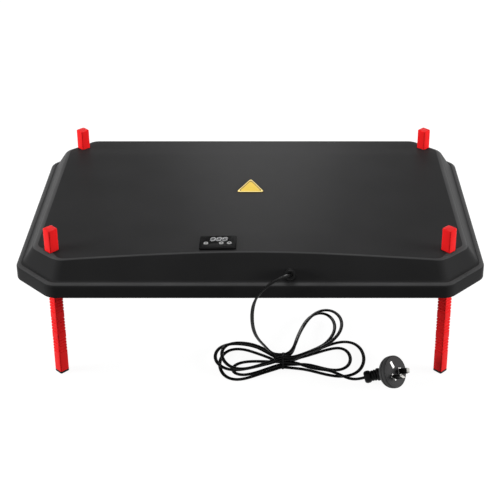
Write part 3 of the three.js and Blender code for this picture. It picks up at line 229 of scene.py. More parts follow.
def joined(name, grids, body, material, sharp_degrees=35):
    """One piece from several grids of rings."""
    vertices = []
    faces = []
    for grid in grids:
        start = sum(len(v) for v in vertices)
        rows, columns = grid.shape[:2]
        vertices.append(grid.reshape(-1, 3))
        faces += [f + start for f in tube_faces(rows, columns)]
    return put(name, np.concatenate(vertices), faces, body, material, sharp_degrees)


def rounded(corners, radii, closed=False, steps=5):
    """A polyline whose corners are bent: at each corner a quadratic curve leaves the incoming side
    at the radius from the corner and joins the outgoing side at the same distance."""
    points = np.asarray(corners, float)
    count = len(points)
    out = []
    u = np.linspace(0, 1, steps)[:, None]
    for i, radius in enumerate(np.broadcast_to(radii, count)):
        inner = closed or 0 < i < count - 1
        if not inner or radius == 0:
            out.append(points[i][None])
            continue
        before = points[i - 1] - points[i]
        after = points[(i + 1) % count] - points[i]
        start = points[i] + before * min(radius / np.linalg.norm(before), 0.499)
        end = points[i] + after * min(radius / np.linalg.norm(after), 0.499)
        out.append((1 - u) ** 2 * start + 2 * u * (1 - u) * points[i] + u**2 * end)
    return np.concatenate(out)


def rectangle(width, depth):
    """Corners of a rectangle about the origin, anticlockwise."""
    w, d = width / 2, depth / 2
    return np.array([(-w, -d), (w, -d), (w, d), (-w, d)])


def turned(profile, sides=48):
    """Grid of a profile of (radius, height) pairs turned about Z: x = r cos a, y = r sin a."""
    angle = np.linspace(0, 2 * np.pi, sides, endpoint=False)
    radius, height = np.asarray(profile, float).T
    x = radius[:, None] * np.cos(angle)
    y = radius[:, None] * np.sin(angle)
    return np.stack([x, y, np.repeat(height[:, None], sides, 1)], -1)


def stacked(rings, heights):
    """Grid of plane rings, each at its height."""
    rings = np.asarray(rings, float)
    heights = np.broadcast_to(np.asarray(heights, float)[:, None, None], (*rings.shape[:2], 1))
    return np.concatenate([rings, heights], -1)


def about_z(degrees):
    """Turn about Z."""
    a = math.radians(degrees)
    return np.array([[math.cos(a), -math.sin(a), 0], [math.sin(a), math.cos(a), 0], [0, 0, 1]])


def aimed(heading, rise, roll=0):
    """Turns local Z to a heading from +X and a rise from the floor, in degrees, after a roll about itself."""
    r = math.radians(90 - rise)
    about_y = np.array([[math.cos(r), 0, math.sin(r)], [0, 1, 0], [-math.sin(r), 0, math.cos(r)]])
    return about_z(heading) @ about_y @ about_z(roll)


def leaning(normal):
    """The smallest turn that takes Z to a direction n: I + K + K K / (1 + c), with K the cross product
    with Z x n."""
    n = np.asarray(normal, float) / np.linalg.norm(normal)
    x, y, c = -n[1], n[0], n[2]
    k = np.array([[0, 0, y], [0, 0, -x], [-y, x, 0]])
    return np.eye(3) + k + k @ k / (1 + c)


def placed(grid, place, turn):
    """The grid turned about the origin and then moved to its place."""
    return np.asarray(grid) @ turn.T + np.asarray(place, float)


PANEL_TURN = leaning(PANEL_NORMAL)
BADGE_TURN = leaning(BADGE_NORMAL)
GLAND_TURN = leaning(GLAND_NORMAL)
FACE_TURN = aimed(PLUG_HEADING, PLUG_RISE, PLUG_ROLL)
BOOT_TURN = aimed(BOOT_HEADING, BOOT_RISE)
BOOT_PLACE = np.array(PLUG_BEND) - BOOT_REACH * BOOT_TURN[:, 2]


def softened(node, body, material, width, segments=2):
    """A copy of a solid with its flat faces joined and its edges rounded by the width in millimetres."""
    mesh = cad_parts[node].data.copy()
    mesh.materials.clear()
    work = bmesh.new()
    work.from_mesh(mesh)
    bmesh.ops.remove_doubles(work, verts=work.verts, dist=1e-6)
    bmesh.ops.dissolve_limit(work, angle_limit=math.radians(1), verts=work.verts, edges=work.edges)
    work.to_mesh(mesh)
    work.free()
    made = dress(node + "_finish", mesh, body, material)
    bevel = made.modifiers.new("edges", "BEVEL")
    bevel.width = width * MM
    bevel.segments = segments
    bevel.limit_method = "ANGLE"
    bevel.angle_limit = math.radians(30)
    bevel.harden_normals = False
    settle(made)
    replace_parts(made, node)
    return made


def settle(obj, sharp_degrees=35):
    """Applies the modifiers of an object to its mesh."""
    result = bpy.data.meshes.new_from_object(obj.evaluated_get(bpy.context.evaluated_depsgraph_get()))
    obj.modifiers.clear()
    obj.data = result
    result.shade_smooth()
    result.set_sharp_from_angle(angle=math.radians(sharp_degrees))


def opened(obj, grids):
    """Cuts closed grids out of an object."""
    cutter = joined("cutter", grids, None, obj.data.materials[0])
    cut = obj.modifiers.new("openings", "BOOLEAN")
    cut.operation = "DIFFERENCE"
    cut.solver = "EXACT"
    cut.object = cutter
    settle(obj)
    bpy.data.objects.remove(cutter)


# Materials

class Wire:
    """A socket on which + - * / and powers add Math nodes."""

    def __init__(self, paint, socket):
        self.paint = paint
        self.socket = socket

    def _math(self, operation, *values):
        return self.paint.node("ShaderNodeMath", {"operation": operation}, dict(enumerate(values)))

    def __add__(self, other):
        return self._math("ADD", self, other)

    __radd__ = __add__

    def __sub__(self, other):
        return self._math("SUBTRACT", self, other)

    def __rsub__(self, other):
        return self._math("SUBTRACT", other, self)

    def __mul__(self, other):
        return self._math("MULTIPLY", self, other)

    __rmul__ = __mul__

    def wave(self):
        return self._math("SINE", self)

    def between(self, low, high):
        """0 below low, 1 above high, smooth between them."""
        return self.paint.node(
            "ShaderNodeMapRange",
            {"interpolation_type": "SMOOTHSTEP"},
            {"Value": self, "From Min": low, "From Max": high},
        )


class Paint:
    """A material on the Principled shader. Constants sit on its sockets, and node maths feeds the rest."""

    def __init__(self, name, **sockets):
        self.material = bpy.data.materials.new(name)
        self.material.use_nodes = True
        self.tree = self.material.node_tree
        self.shader = self.tree.nodes["Principled BSDF"]
        for socket, value in sockets.items():
            self.shader.inputs[socket.replace("_", " ")].default_value = value
        self.place = self.node("ShaderNodeTexCoord", output="Object")

    def node(self, kind, settings=None, inputs=None, output=0):
        """A node with its settings, then the values or links of its sockets."""
        made = self.tree.nodes.new(kind)
        for key, value in (settings or {}).items():
            setattr(made, key, value)
        for key, value in (inputs or {}).items():
            if isinstance(value, Wire):
                self.tree.links.new(value.socket, made.inputs[key])
            else:
                made.inputs[key].default_value = value
        return Wire(self, made.outputs[output])

    def feed(self, socket, wire):
        """Links a wire to a socket of the shader."""
        self.tree.links.new(wire.socket, self.shader.inputs[socket])

    def noise(self, grain_mm, detail=3.0, stretch=(1, 1, 1)):
        """Fractal noise with grains of a size in millimetres, stretched along the axes."""
        squeeze = {"Vector": self.place, "Scale": [1 / s for s in stretch]}
        at = self.node("ShaderNodeMapping", {"vector_type": "POINT"}, squeeze)
        grain = {"Vector": at, "Scale": 1 / (grain_mm * MM), "Detail": detail}
        return self.node("ShaderNodeTexNoise", None, grain)

    def axes(self):
        """The x, y and z of the piece's own coordinates, in metres."""
        apart = self.tree.nodes.new("ShaderNodeSeparateXYZ")
        self.tree.links.new(self.place.socket, apart.inputs[0])
        return [Wire(self, apart.outputs[i]) for i in range(3)]

    def mix(self, share, first, second):
        """Colour that goes from the first to the second with the share."""
        pick = {0: share, 6: first, 7: second}
        return self.node("ShaderNodeMix", {"data_type": "RGBA"}, pick, output=2)

    def bump(self, height, depth_mm):
        """Normal of a height from 0 to 1 that is depth_mm tall."""
        self.feed("Normal", self.node("ShaderNodeBump", None, {"Height": height, "Distance": depth_mm * MM}))


def colour(red, green, blue):
    """A colour as a shader socket takes it."""
    return (red, green, blue, 1.0)


def moulded(name, base, roughness, specular, grain_mm, depth_mm, tone_share, cloud_mm):
    """Moulded plastic or rubber: soft clouds of tone, a fine spark-eroded grain and uneven gloss.
    Tone = base times 1 +- tone_share; roughness rises a little with the grain."""
    paint = Paint(name, Specular_IOR_Level=specular)
    clouds = paint.noise(cloud_mm, 3)
    grain = paint.noise(grain_mm, 2)
    fine = paint.noise(grain_mm / 3, 1)
    shade = clouds * 0.6 + grain * 0.4
    dark = colour(*[c * (1 - tone_share) for c in base])
    light = colour(*[min(c * (1 + tone_share), 1) for c in base])
    paint.feed("Base Color", paint.mix(shade.between(0.3, 0.7), dark, light))
    paint.feed("Roughness", roughness - 0.04 + clouds * 0.05 + grain * 0.05)
    paint.bump(grain * 0.7 + fine * 0.3, depth_mm)
    return paint.material


def metal(name, base, roughness, stretch, groove_mm=0.12):
    """Drawn or rolled metal: fine grooves along the stretched axis vary its tone and roughness."""
    paint = Paint(name, Metallic=1.0)
    grooves = paint.noise(groove_mm, 4, stretch)
    stain = paint.noise(7, 2)
    dark = colour(*[c * 0.82 for c in base])
    shade = (grooves * 0.6 + stain * 0.4).between(0.35, 0.65)
    paint.feed("Base Color", paint.mix(shade, dark, colour(*base)))
    paint.feed("Roughness", roughness + grooves * 0.12 + stain * 0.06)
    paint.bump(grooves, 0.01)
    return paint.material


def flex_material():
    """Cord sheath: smooth, slightly shiny, with a faint shrink ripple along it."""
    paint = Paint("cord_sheath", Specular_IOR_Level=0.11)
    ripple = paint.noise(2.5, 2)
    clouds = paint.noise(25, 2)
    dark = colour(0.002, 0.002, 0.002)
    light = colour(0.004, 0.004, 0.004)
    paint.feed("Base Color", paint.mix(clouds.between(0.3, 0.7), dark, light))
    paint.feed("Roughness", 0.22 + ripple * 0.1)
    paint.bump(ripple, 0.015)
    return paint.material


def lit_digits():
    """Segments of the display: pale and slightly lit, their glow uneven in fine patches."""
    paint = Paint("display_segments", Roughness=0.4)
    glow = paint.noise(1.2, 1)
    paint.feed("Base Color", paint.mix(glow, colour(0.12, 0.123, 0.126), colour(0.18, 0.183, 0.187)))
    paint.feed("Emission Color", paint.mix(glow, colour(0.6, 0.62, 0.64), colour(0.8, 0.82, 0.84)))
    paint.shader.inputs["Emission Strength"].default_value = 0.02
    return paint.material


def heater_film():
    """Brown polymer film with the metal track of the heater as fine parallel lines."""
    paint = Paint("heater_film", Specular_IOR_Level=0.5)
    lines = (paint.axes()[1] * (2 * math.pi / (6 * MM))).wave().between(0.2, 0.5)
    cloud = paint.noise(30, 2)
    film = paint.mix(cloud, colour(0.10, 0.045, 0.012), colour(0.14, 0.065, 0.02))
    paint.feed("Base Color", paint.mix(lines, film, colour(0.35, 0.33, 0.3)))
    paint.feed("Roughness", 0.35 + cloud * 0.1)
    paint.bump(lines, 0.02)
    return paint.material


def board_green():
    """Circuit board: lacquer over faint tracks."""
    paint = Paint("circuit_board", Specular_IOR_Level=0.5)
    x, y = paint.axes()[:2]
    across = (x * (2 * math.pi / (3.1 * MM))).wave()
    along = (y * (2 * math.pi / (2.3 * MM))).wave()
    tracks = (across * along).between(0.25, 0.4)
    cloud = paint.noise(8, 2)
    paint.feed("Base Color", paint.mix(tracks, colour(0.012, 0.10, 0.045), colour(0.03, 0.16, 0.07)))
    paint.feed("Roughness", 0.3 + cloud * 0.15)
    paint.bump(tracks, 0.03)
    return paint.material


def foam():
    """Open foam: cells of a Voronoi pattern darken and dent the surface."""
    paint = Paint("pad_foam", Specular_IOR_Level=0.2)
    cells = paint.node("ShaderNodeTexVoronoi", None, {"Vector": paint.place, "Scale": 1 / (1.8 * MM)})
    cloud = paint.noise(20, 2)
    deep = colour(0.22, 0.24, 0.27)
    paint.feed("Base Color", paint.mix(cells.between(0.2, 0.7), deep, colour(0.42, 0.45, 0.5)))
    paint.feed("Roughness", 0.85 + cloud * 0.1)
    paint.bump(cells, 0.5)
    return paint.material


COVER = moulded("cover_plastic", (0.0190, 0.0190, 0.0193), 0.35, 0.009, 0.55, 0.008, 0.10, 90)
# Paler plastic for the cover's shoulder and crest rows: a painted highlight along these edges, standing in
# for the light they catch
EDGE_HIGHLIGHT_PAINT = moulded("cover_painted_edge_highlight", (0.042, 0.042, 0.0425), 0.35, 0.02, 0.4, 0.004, 0.12, 40)
PANEL = moulded("panel_plastic", (0.0032, 0.0032, 0.0033), 0.4, 0.008, 0.4, 0.02, 0.12, 25)
DARK = moulded("dark_plastic", (0.004, 0.004, 0.0041), 0.34, 0.09, 0.4, 0.02, 0.12, 25)
PLUG_BLACK = moulded("plug_plastic", (0.038, 0.038, 0.0385), 0.5, 0.1, 0.4, 0.03, 0.14, 14)
BASE = moulded("base_panel_plastic", (0.035, 0.035, 0.036), 0.55, 0.3, 0.7, 0.04, 0.10, 70)
RED = moulded("leg_plastic", (0.60, 0.0115, 0.0125), 0.34, 0.06, 0.8, 0.02, 0.06, 35)
RUBBER = moulded("foot_rubber", (0.012, 0.012, 0.012), 0.75, 0.25, 0.5, 0.05, 0.15, 10)
FLEX = flex_material()
YELLOW = moulded("badge_yellow", (0.62, 0.43, 0.05), 0.45, 0.05, 0.6, 0.01, 0.05, 15)
PALE_YELLOW = moulded("badge_border", (0.80, 0.64, 0.24), 0.45, 0.05, 0.6, 0.01, 0.05, 15)
BROWN = moulded("badge_line", (0.07, 0.035, 0.004), 0.5, 0.05, 0.4, 0.01, 0.08, 10)
GLASS = moulded("window_plastic", (0.0025, 0.0025, 0.0026), 0.12, 0.006, 1.2, 0.002, 0.1, 12)
WHITE = moulded("white_plastic", (0.84, 0.84, 0.82), 0.42, 0.45, 0.5, 0.01, 0.03, 10)
BUTTON = moulded("button_plastic", (0.26, 0.26, 0.258), 0.45, 0.1, 0.3, 0.01, 0.08, 8)
STEEL = metal("screw_steel", (0.56, 0.57, 0.58), 0.28, (1, 1, 12))
PIN = metal("pin_plating", (0.72, 0.71, 0.67), 0.25, (1, 12, 1))
DIGITS = lit_digits()
FILM = heater_film()
CIRCUIT = board_green()
FOAM = foam()


# Camera, floor and light

def camera():
    """A long lens from the front, above the plate; its shift frames the photograph."""
    data = bpy.data.cameras.new("camera")
    data.lens = CAMERA_LENS
    data.sensor_width = 36
    data.shift_x, data.shift_y = CAMERA_SHIFT
    data.clip_end = 50
    made = bpy.data.objects.new("camera", data)
    made.location = CAMERA_PLACE
    made.rotation_euler = (math.radians(90 - CAMERA_PITCH), 0, 0)
    bpy.context.scene.collection.objects.link(made)
    bpy.context.scene.camera = made


def seen_by_eye(tree, seen, unseen):
    """Strength that is seen for camera, glossy and transmission rays and unseen for all others."""
    path = tree.nodes.new("ShaderNodeLightPath")
    most = None
    for name in ("Is Camera Ray", "Is Glossy Ray", "Is Transmission Ray"):
        if most is None:
            most = path.outputs[name]
            continue
        join = tree.nodes.new("ShaderNodeMath")
        join.operation = "MAXIMUM"
        tree.links.new(most, join.inputs[0])
        tree.links.new(path.outputs[name], join.inputs[1])
        most = join.outputs[0]
    blend = tree.nodes.new("ShaderNodeMapRange")
    tree.links.new(most, blend.inputs["Value"])
    blend.inputs["To Min"].default_value = unseen
    blend.inputs["To Max"].default_value = seen
    return blend.outputs[0]


def surroundings():
    """A white world and a floor that look white but add little light; the floor keeps the shadow."""
    world = bpy.data.worlds.new("studio")
    world.use_nodes = True
    bpy.context.scene.world = world
    back = world.node_tree.nodes["Background"]
    back.inputs["Color"].default_value = (1, 1, 1, 1)
    world.node_tree.links.new(seen_by_eye(world.node_tree, 1.0, 0.14), back.inputs["Strength"])
    material = bpy.data.materials.new("studio_floor")
    material.use_nodes = True
    tree = material.node_tree
    tree.nodes.remove(tree.nodes["Principled BSDF"])
    matt = tree.nodes.new("ShaderNodeBsdfDiffuse")
    matt.inputs["Color"].default_value = (0.12, 0.12, 0.12, 1)
    glow = tree.nodes.new("ShaderNodeEmission")
    tree.links.new(seen_by_eye(tree, 0.94, 0.0), glow.inputs["Strength"])
    both = tree.nodes.new("ShaderNodeAddShader")
    tree.links.new(matt.outputs[0], both.inputs[0])
    tree.links.new(glow.outputs[0], both.inputs[1])
    tree.links.new(both.outputs[0], tree.nodes["Material Output"].inputs["Surface"])
    mesh = bpy.data.meshes.new("studio_floor")
    reach = 6.0
    corners = [(-reach, -reach, 0), (reach, -reach, 0), (reach, reach, 0), (-reach, reach, 0)]
    mesh.from_pydata(corners, [], [(0, 1, 2, 3)])
    mesh.materials.append(material)
    floor = bpy.data.objects.new("studio_floor", mesh)
    bpy.context.scene.collection.objects.link(floor)


def lamp(name, place, target, size, watts, in_gloss=True):
    """A soft box in metres that looks at a target; reflections can leave it out."""
    data = bpy.data.lights.new(name, "AREA")
    data.shape = "RECTANGLE"
    data.size, data.size_y = size
    data.energy = watts
    made = bpy.data.objects.new(name, data)
    made.location = place
    aim = Vector(target) - Vector(place)
    made.rotation_euler = aim.to_track_quat("-Z", "Y").to_euler()
    made.visible_glossy = in_gloss
    bpy.context.scene.collection.objects.link(made)


camera()
surroundings()
lamp("soft_above", (0, 0.15, 2.2), (0, 0, 0.15), (1.6, 1.0), 20)
lamp("strip_above", (0, 0.75, 2.3), (0, 0, 0.15), (1.6, 0.2), 14)
lamp("side_left", (-3.2, -0.4, 0.7), (0, -0.1, 0.1), (1.8, 1.1), 176, in_gloss=False)
lamp("side_right", (3.2, -0.4, 0.7), (0, -0.1, 0.1), (1.8, 1.1), 166, in_gloss=False)
lamp("rear_middle", (0, 2.2, 1.08), (0, 0.1, 0.19), (0.5, 0.35), 7)


# Cord

def centripetal(points, spacing):
    """Catmull-Rom spline through points, with the knots apart by the square root of the distances."""
    p = np.asarray(points, float)
    p = np.concatenate([[2 * p[0] - p[1]], p, [2 * p[-1] - p[-2]]])
    knot = np.sqrt(np.linalg.norm(np.diff(p, axis=0), axis=1))
    out = []
    for i in range(1, len(p) - 2):
        t0 = 0.0
        t1 = t0 + knot[i - 1]
        t2 = t1 + knot[i]
        t3 = t2 + knot[i + 1]
        steps = max(int(np.linalg.norm(p[i + 1] - p[i]) / spacing), 2)
        t = np.linspace(t1, t2, steps, endpoint=False)[:, None]
        a1 = ((t1 - t) * p[i - 1] + (t - t0) * p[i]) / (t1 - t0)
        a2 = ((t2 - t) * p[i] + (t - t1) * p[i + 1]) / (t2 - t1)
        a3 = ((t3 - t) * p[i + 1] + (t - t2) * p[i + 2]) / (t3 - t2)
        b1 = ((t2 - t) * a1 + (t - t0) * a2) / (t2 - t0)
        b2 = ((t3 - t) * a2 + (t - t1) * a3) / (t3 - t1)
        out.append(((t2 - t) * b1 + (t - t1) * b2) / (t2 - t1))
    return np.concatenate([*out, p[-2][None]])


def smooth(share):
    """0 below 0, 1 above 1, and s^2 (3 - 2 s) between them."""
    held = np.clip(share, 0, 1)
    return held * held * (3 - 2 * held)


def hank_line():
    """Centreline of the hank. Each pass runs straight through the tie in its slot. Each lobe leaves it with
    along = reach (1 - cos a) / 2 and
    across = width / 2 (sin a sin(a/2)^f, scaled to 1, + lean sin(a/2)^(2 + f)),
    turns to its tilt with 1 - exp(-along / bend), and sinks from its slot to its far level."""
    column_pitch = CORD_WIDTH + STRAND_GAP
    level_pitch = CORD_THICKNESS + STRAND_GAP
    floor_level = CORD_THICKNESS / 2 + FLOOR_CLEARANCE

    def slot_height(level):
        return floor_level + WAIST_LIFT + level * level_pitch

    out = []
    for index, (column, level) in enumerate(PASSES):
        way = -1 if index % 2 else 1
        x = WAIST[0] + way * np.linspace(-WAIST_HALF_LENGTH, WAIST_HALF_LENGTH, 5)
        y = np.full_like(x, WAIST[1] + column * column_pitch)
        out.append(np.stack([x, y, np.full_like(x, slot_height(level))], 1))
        if index == len(LOBES):
            break
        reach, width, tilt, bend, fullness, lean, far_level = LOBES[index]
        widest = math.acos(-fullness / (fullness + 2))
        fullest = math.sin(widest) * math.sin(widest / 2) ** fullness
        next_column, next_level = PASSES[index + 1]
        t = np.linspace(0, 1, 161)[1:-1]
        angle = 2 * np.pi * t
        along = reach * (1 - np.cos(angle)) / 2
        half_turn = np.sin(angle / 2)
        opening = np.sin(angle) * half_turn**fullness / fullest
        across = way * width / 2 * (opening + lean * half_turn ** (2 + fullness))
        turn = math.radians(tilt) * (1 - np.exp(-along / bend))
        near = np.exp(-((along / SLOT_FADE) ** 2))
        shift = (column + (next_column - column) * smooth(t)) * column_pitch * near
        climb = np.where(t > 0.5, 1 - smooth(along / CLIMB_END), 0)
        slot = slot_height(level + (next_level - level) * climb)
        droop = smooth((along - DROOP_START) / (DROOP_END - DROOP_START))
        out.append(np.stack([
            WAIST[0] + way * (WAIST_HALF_LENGTH + along * np.cos(turn) - across * np.sin(turn)),
            WAIST[1] + along * np.sin(turn) + across * np.cos(turn) + shift,
            slot + (floor_level + far_level * level_pitch - slot) * droop,
        ], 1))
    return np.concatenate(out)


def evenly(line, spacing):
    """The same line with points at equal steps."""
    run = np.concatenate([[0], np.cumsum(np.linalg.norm(np.diff(line, axis=0), axis=1))])
    at = np.linspace(0, run[-1], int(run[-1] / spacing) + 1)
    return np.stack([np.interp(at, run, line[:, k]) for k in range(3)], 1)


def flat_cord(line, sides=16):
    """Grid of a twin cord that lies flat: width cos a across and thickness sin a up, with a shallow groove
    where the two cores meet."""
    before = np.concatenate([line[:1], line[:-1]])
    after = np.concatenate([line[1:], line[-1:]])
    tangent = after - before
    tangent /= np.linalg.norm(tangent, axis=1, keepdims=True)
    aside = np.cross(tangent, [0, 0, 1])
    aside /= np.linalg.norm(aside, axis=1, keepdims=True)
    lift = np.cross(aside, tangent)
    angle = np.linspace(0, 2 * np.pi, sides, endpoint=False)
    across = CORD_WIDTH / 2 * np.cos(angle)
    up = CORD_THICKNESS / 2 * np.sign(np.sin(angle)) * np.abs(np.sin(angle)) ** 0.8
    up *= 1 - 0.17 * np.exp(-((across / 0.55) ** 2))
    return line[:, None] + aside[:, None] * across[None, :, None] + lift[:, None] * up[None, :, None]


cord_line = np.concatenate([centripetal(DROP_POINTS, 2)[:-1], hank_line(), centripetal(TAIL_POINTS, 2)[1:]])
cord_line = evenly(cord_line, CORD_STEP)
for _ in range(3):
    cord_line[1:-1] = (cord_line[:-2] + 2 * cord_line[1:-1] + cord_line[2:]) / 4
cord = tube("mains_cord", flat_cord(cord_line)[:, ::-1], "plate", FLEX)
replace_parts(cord, "cord_drop", "cord_hank", "cord_tail")


def tie():
    """Band round the bundle: a rounded rectangle swept by a flat strip, and its ends twisted into a tail."""
    low = WAIST[1] - 1.5 * (CORD_WIDTH + STRAND_GAP) - CORD_WIDTH / 2 - 0.5
    high = WAIST[1] + 0.5 * (CORD_WIDTH + STRAND_GAP) + CORD_WIDTH / 2 + 0.5
    bottom = 0.55
    top = 17.6
    loop = rounded([(low, bottom), (high, bottom), (high, top), (low, top)], 3.2, closed=True, steps=6)
    way = np.roll(loop, -1, 0) - np.roll(loop, 1, 0)
    way /= np.linalg.norm(way, axis=1, keepdims=True)
    out = np.stack([way[:, 1], -way[:, 0]], 1)
    section = np.array([(-1.15, -0.25), (-0.8, 0.2), (0, 0.42), (0.8, 0.2), (1.15, -0.25), (0, -0.4)])
    band = np.zeros((len(loop), len(section), 3))
    band[..., 0] = WAIST[0] + section[None, :, 0]
    band[..., 1:] = loop[:, None] + out[:, None] * section[None, :, 1:2]
    rows, columns = band.shape[:2]
    index = np.arange(rows * columns).reshape(rows, columns)
    below, beside = np.roll(index, -1, 0), np.roll(index, -1, 1)
    corner = np.roll(below, -1, 1)
    ring = np.stack([index, beside, corner, below], -1).reshape(-1, 4)
    t = np.linspace(0, 1, 22)[:, None]
    spin = 5 * np.pi * t
    middle = (low + high) / 2 - 2
    a = np.linspace(0, 2 * np.pi, 8, endpoint=False)[None]
    wide, thin = 1.25 * np.cos(a), 0.55 * np.sin(a)
    tail = np.stack([
        WAIST[0] + wide * np.cos(spin) - thin * np.sin(spin) + 1.6 * np.sin(2.4 * t),
        middle + wide * np.sin(spin) + thin * np.cos(spin) - 1.2 * t,
        top - 0.3 + 7.0 * t + 0 * a,
    ], -1)
    faces = [*ring, *[f + rows * columns for f in tube_faces(*tail.shape[:2])]]
    points = np.concatenate([band.reshape(-1, 3), tail.reshape(-1, 3)])
    made = put("hank_tie_finish", points, faces, "plate", DARK)
    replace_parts(made, "hank_tie")
    return made


tie_piece = tie()


# Plug

def plug_body():
    """Turned body: neck, shoulder, groove and flange with rounded rims, and the neck that meets the boot."""
    profile = rounded(
        [(0, 0.1), (7.6, 0.1), (8.6, 1.2), (12, 3.4), (17.6, 4.6), (19.3, 6.4), (20.6, 9), (20.9, 11.2),
         (20.2, 11.6), (20.2, 12.2), (21.2, 12.6), (21.2, 16.7), (20.1, 17.95), (19, 18), (18.7, 17.75),
         (18.2, 17.75), (17.9, 18), (0, 18)],
        [0, 0.5, 0.8, 1.5, 1.4, 1.2, 1.2, 0.3, 0.2, 0.2, 0.3, 1.2, 0.9, 0.2, 0.15, 0.15, 0.2, 0],
    )
    neck = rounded([(0, 20.5), (7.7, 20.5), (7.7, 30.5), (0, 30.5)], [0, 0.6, 0.6, 0])
    return joined(
        "plug_body_finish",
        [placed(turned(profile, 72), PLUG_BEND, FACE_TURN), placed(turned(neck), BOOT_PLACE, BOOT_TURN)],
        "plate", PLUG_BLACK,
    )


def plug_boot():
    """Turned strain relief: a mouth for the cord, a rounded collar, and a ringed neck that widens to the
    body."""
    corners = [
        (0, -1.2), (3.3, -1.2), (4.2, -1.6), (6.2, -1.6), (8.2, 0.6), (8.2, 5.4), (7.2, 7.0), (6.5, 7.4),
    ]
    radii = [0, 0.5, 0.5, 1.4, 2.0, 1.6, 0.9, 0.4]
    for foot, crown in ((8.1, 7.0), (11.5, 7.4)):
        corners += [(6.5, foot), (crown, foot + 0.4), (crown, foot + 2.2), (6.6, foot + 2.7)]
        radii += [0.4, 0.5, 0.5, 0.4]
    corners += [(6.8, 14.6), (8.2, 15.6), (8.4, 18.2), (7.6, 20.2), (0, 20.2)]
    radii += [0.5, 1.2, 1.4, 0.9, 0]
    grid = turned(rounded(corners, radii, steps=4))
    return tube("plug_boot_finish", placed(grid, BOOT_PLACE, BOOT_TURN), "plate", DARK)


def block(bar_size, angle, low, high, corner=0.3, edge=0.2):
    """Grid of a bar on a circle about the plug's axis: a rounded rectangle between two heights, with its
    upper edge rounded in two steps."""
    along, across, circle = bar_size
    outline = rounded(rectangle(along, across), corner, closed=True, steps=4)
    size = np.array([along, across])
    rings = [outline * (1 - 2 * inset / size) for inset in (0, 0, edge * 0.3, edge)]
    grid = stacked(rings, [low, high - edge, high - edge * 0.3, high])
    return placed((grid + [circle, 0, 0]) @ about_z(angle).T, PLUG_BEND, FACE_TURN)


plug_pieces = [plug_body(), plug_boot()]
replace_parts(plug_pieces[0], "plug_body")
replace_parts(plug_pieces[1], "plug_boot")
blank = tube("plug_blank_finish", block(BLANK_BAR, 0, 12.4, 18.3), "plate", WHITE)
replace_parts(blank, "plug_blank")
plug_pieces.append(blank)
for number, angle in enumerate(PIN_ANGLES, start=1):
    pin = tube(f"plug_pin_{number}_finish", block(PIN_BAR, angle, 12, 35, 0.35, 0.5), "plate", PIN)
    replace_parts(pin, f"plug_pin_{number}")
    sleeve = tube(f"pin_sleeve_{number}", block(SLEEVE_BAR, angle, 17.9, 31, 0.5, 0.3), "plate", DARK)
    # A white plate under each sleeve: painted highlight at the pin's root
    root_glint = tube(f"pin_root_glint_{number}", block(ROOT_GLINT_BAR, angle, 17.4, 18.25, 0.5, 0.15), "plate", WHITE)
    plug_pieces += [pin, sleeve, root_glint]


# Cover

def cover_height(x, y):
    """Top of the cover: a front height with a soft ridge, blended evenly to the crease near the back, and the
    slope behind the crease. The two meet in a soft lower bound, (a + b - sqrt((a - b)^2 + k)) / 2."""
    front = RIDGE_HEIGHT - RIDGE_FALL_SHARE * (np.hypot(x, RIDGE_SOFTNESS) - RIDGE_SOFTNESS)
    share = (y - FRONT_CREST_Y) / (BACK_CREASE_Y - FRONT_CREST_Y)
    main = front + (BACK_CREASE_HEIGHT - front) * share
    behind = BACK_CREASE_HEIGHT - BACK_FALL_SHARE * (y - BACK_CREASE_Y)
    return (main + behind - np.sqrt((main - behind) ** 2 + CREASE_SOFTNESS)) / 2


# Rows of faces on the shoulder and the crest in a paler material: a painted highlight along these edges
CROWN_HIGHLIGHT_ROWS = (8, 13)
CREST_HIGHLIGHT_ROWS = (26, 32)


def cut_outline(half_width, half_depth, cut_by, radius):
    """Rectangle whose corners are cut at 45 degrees and then rounded by arcs of 45 degrees; the sides between
    the arcs are divided evenly, so that every outline has the same number of points."""
    w, d, c = half_width, half_depth, cut_by
    corners = np.array([
        (w, c - d), (w, d - c), (w - c, d), (c - w, d), (-w, d - c), (-w, c - d), (c - w, -d), (w - c, -d),
    ])
    heading = np.pi / 4 * (np.arange(8) + 1)
    ahead = np.stack([np.cos(heading), np.sin(heading)], 1)
    left = np.stack([-np.sin(heading), np.cos(heading)], 1)
    centre = corners - ahead * radius * math.tan(np.pi / 8) + left * radius
    angle = heading[:, None] - np.pi / 2 + np.linspace(0, np.pi / 4, CORNER_STEPS + 1)
    arcs = centre[:, None] + radius * np.stack([np.cos(angle), np.sin(angle)], -1)
    out = []
    for i, steps in enumerate(SIDE_STEPS):
        share = np.linspace(0, 1, steps + 1)[1:-1, None]
        out += [arcs[i], arcs[i][-1] + (arcs[(i + 1) % 8][0] - arcs[i][-1]) * share]
    return np.concatenate(out)


def lifted(ring, height):
    """A plane ring at a height."""
    return np.concatenate([ring, np.broadcast_to(height, (len(ring), 1))], 1)


def skirt_ring(inset):
    """Outline of the skirt moved in evenly; its corner cuts shrink by inset (2 - sqrt 2)."""
    cut_by = SKIRT_CUT - inset * (2 - math.sqrt(2))
    return cut_outline(PLATE_WIDTH / 2 - inset, PLATE_DEPTH / 2 - inset, cut_by, SKIRT_RADIUS - inset)


def wall_ring(height):
    """Outline of the sloping wall at a height, in line with its crease and its crest."""
    share = (height - LEDGE_HEIGHT) / WALL_RISE
    cut_by = CREASE_CUT + (CREST_CUT - CREASE_CUT) * share
    radius = CREASE_RADIUS + (CREST_RADIUS - CREASE_RADIUS) * min(share, 1)
    return cut_outline(
        CREASE_HALF_WIDTH - WALL_RUN_SIDE * share, CREASE_HALF_DEPTH - WALL_RUN_FRONT * share, cut_by, radius
    )


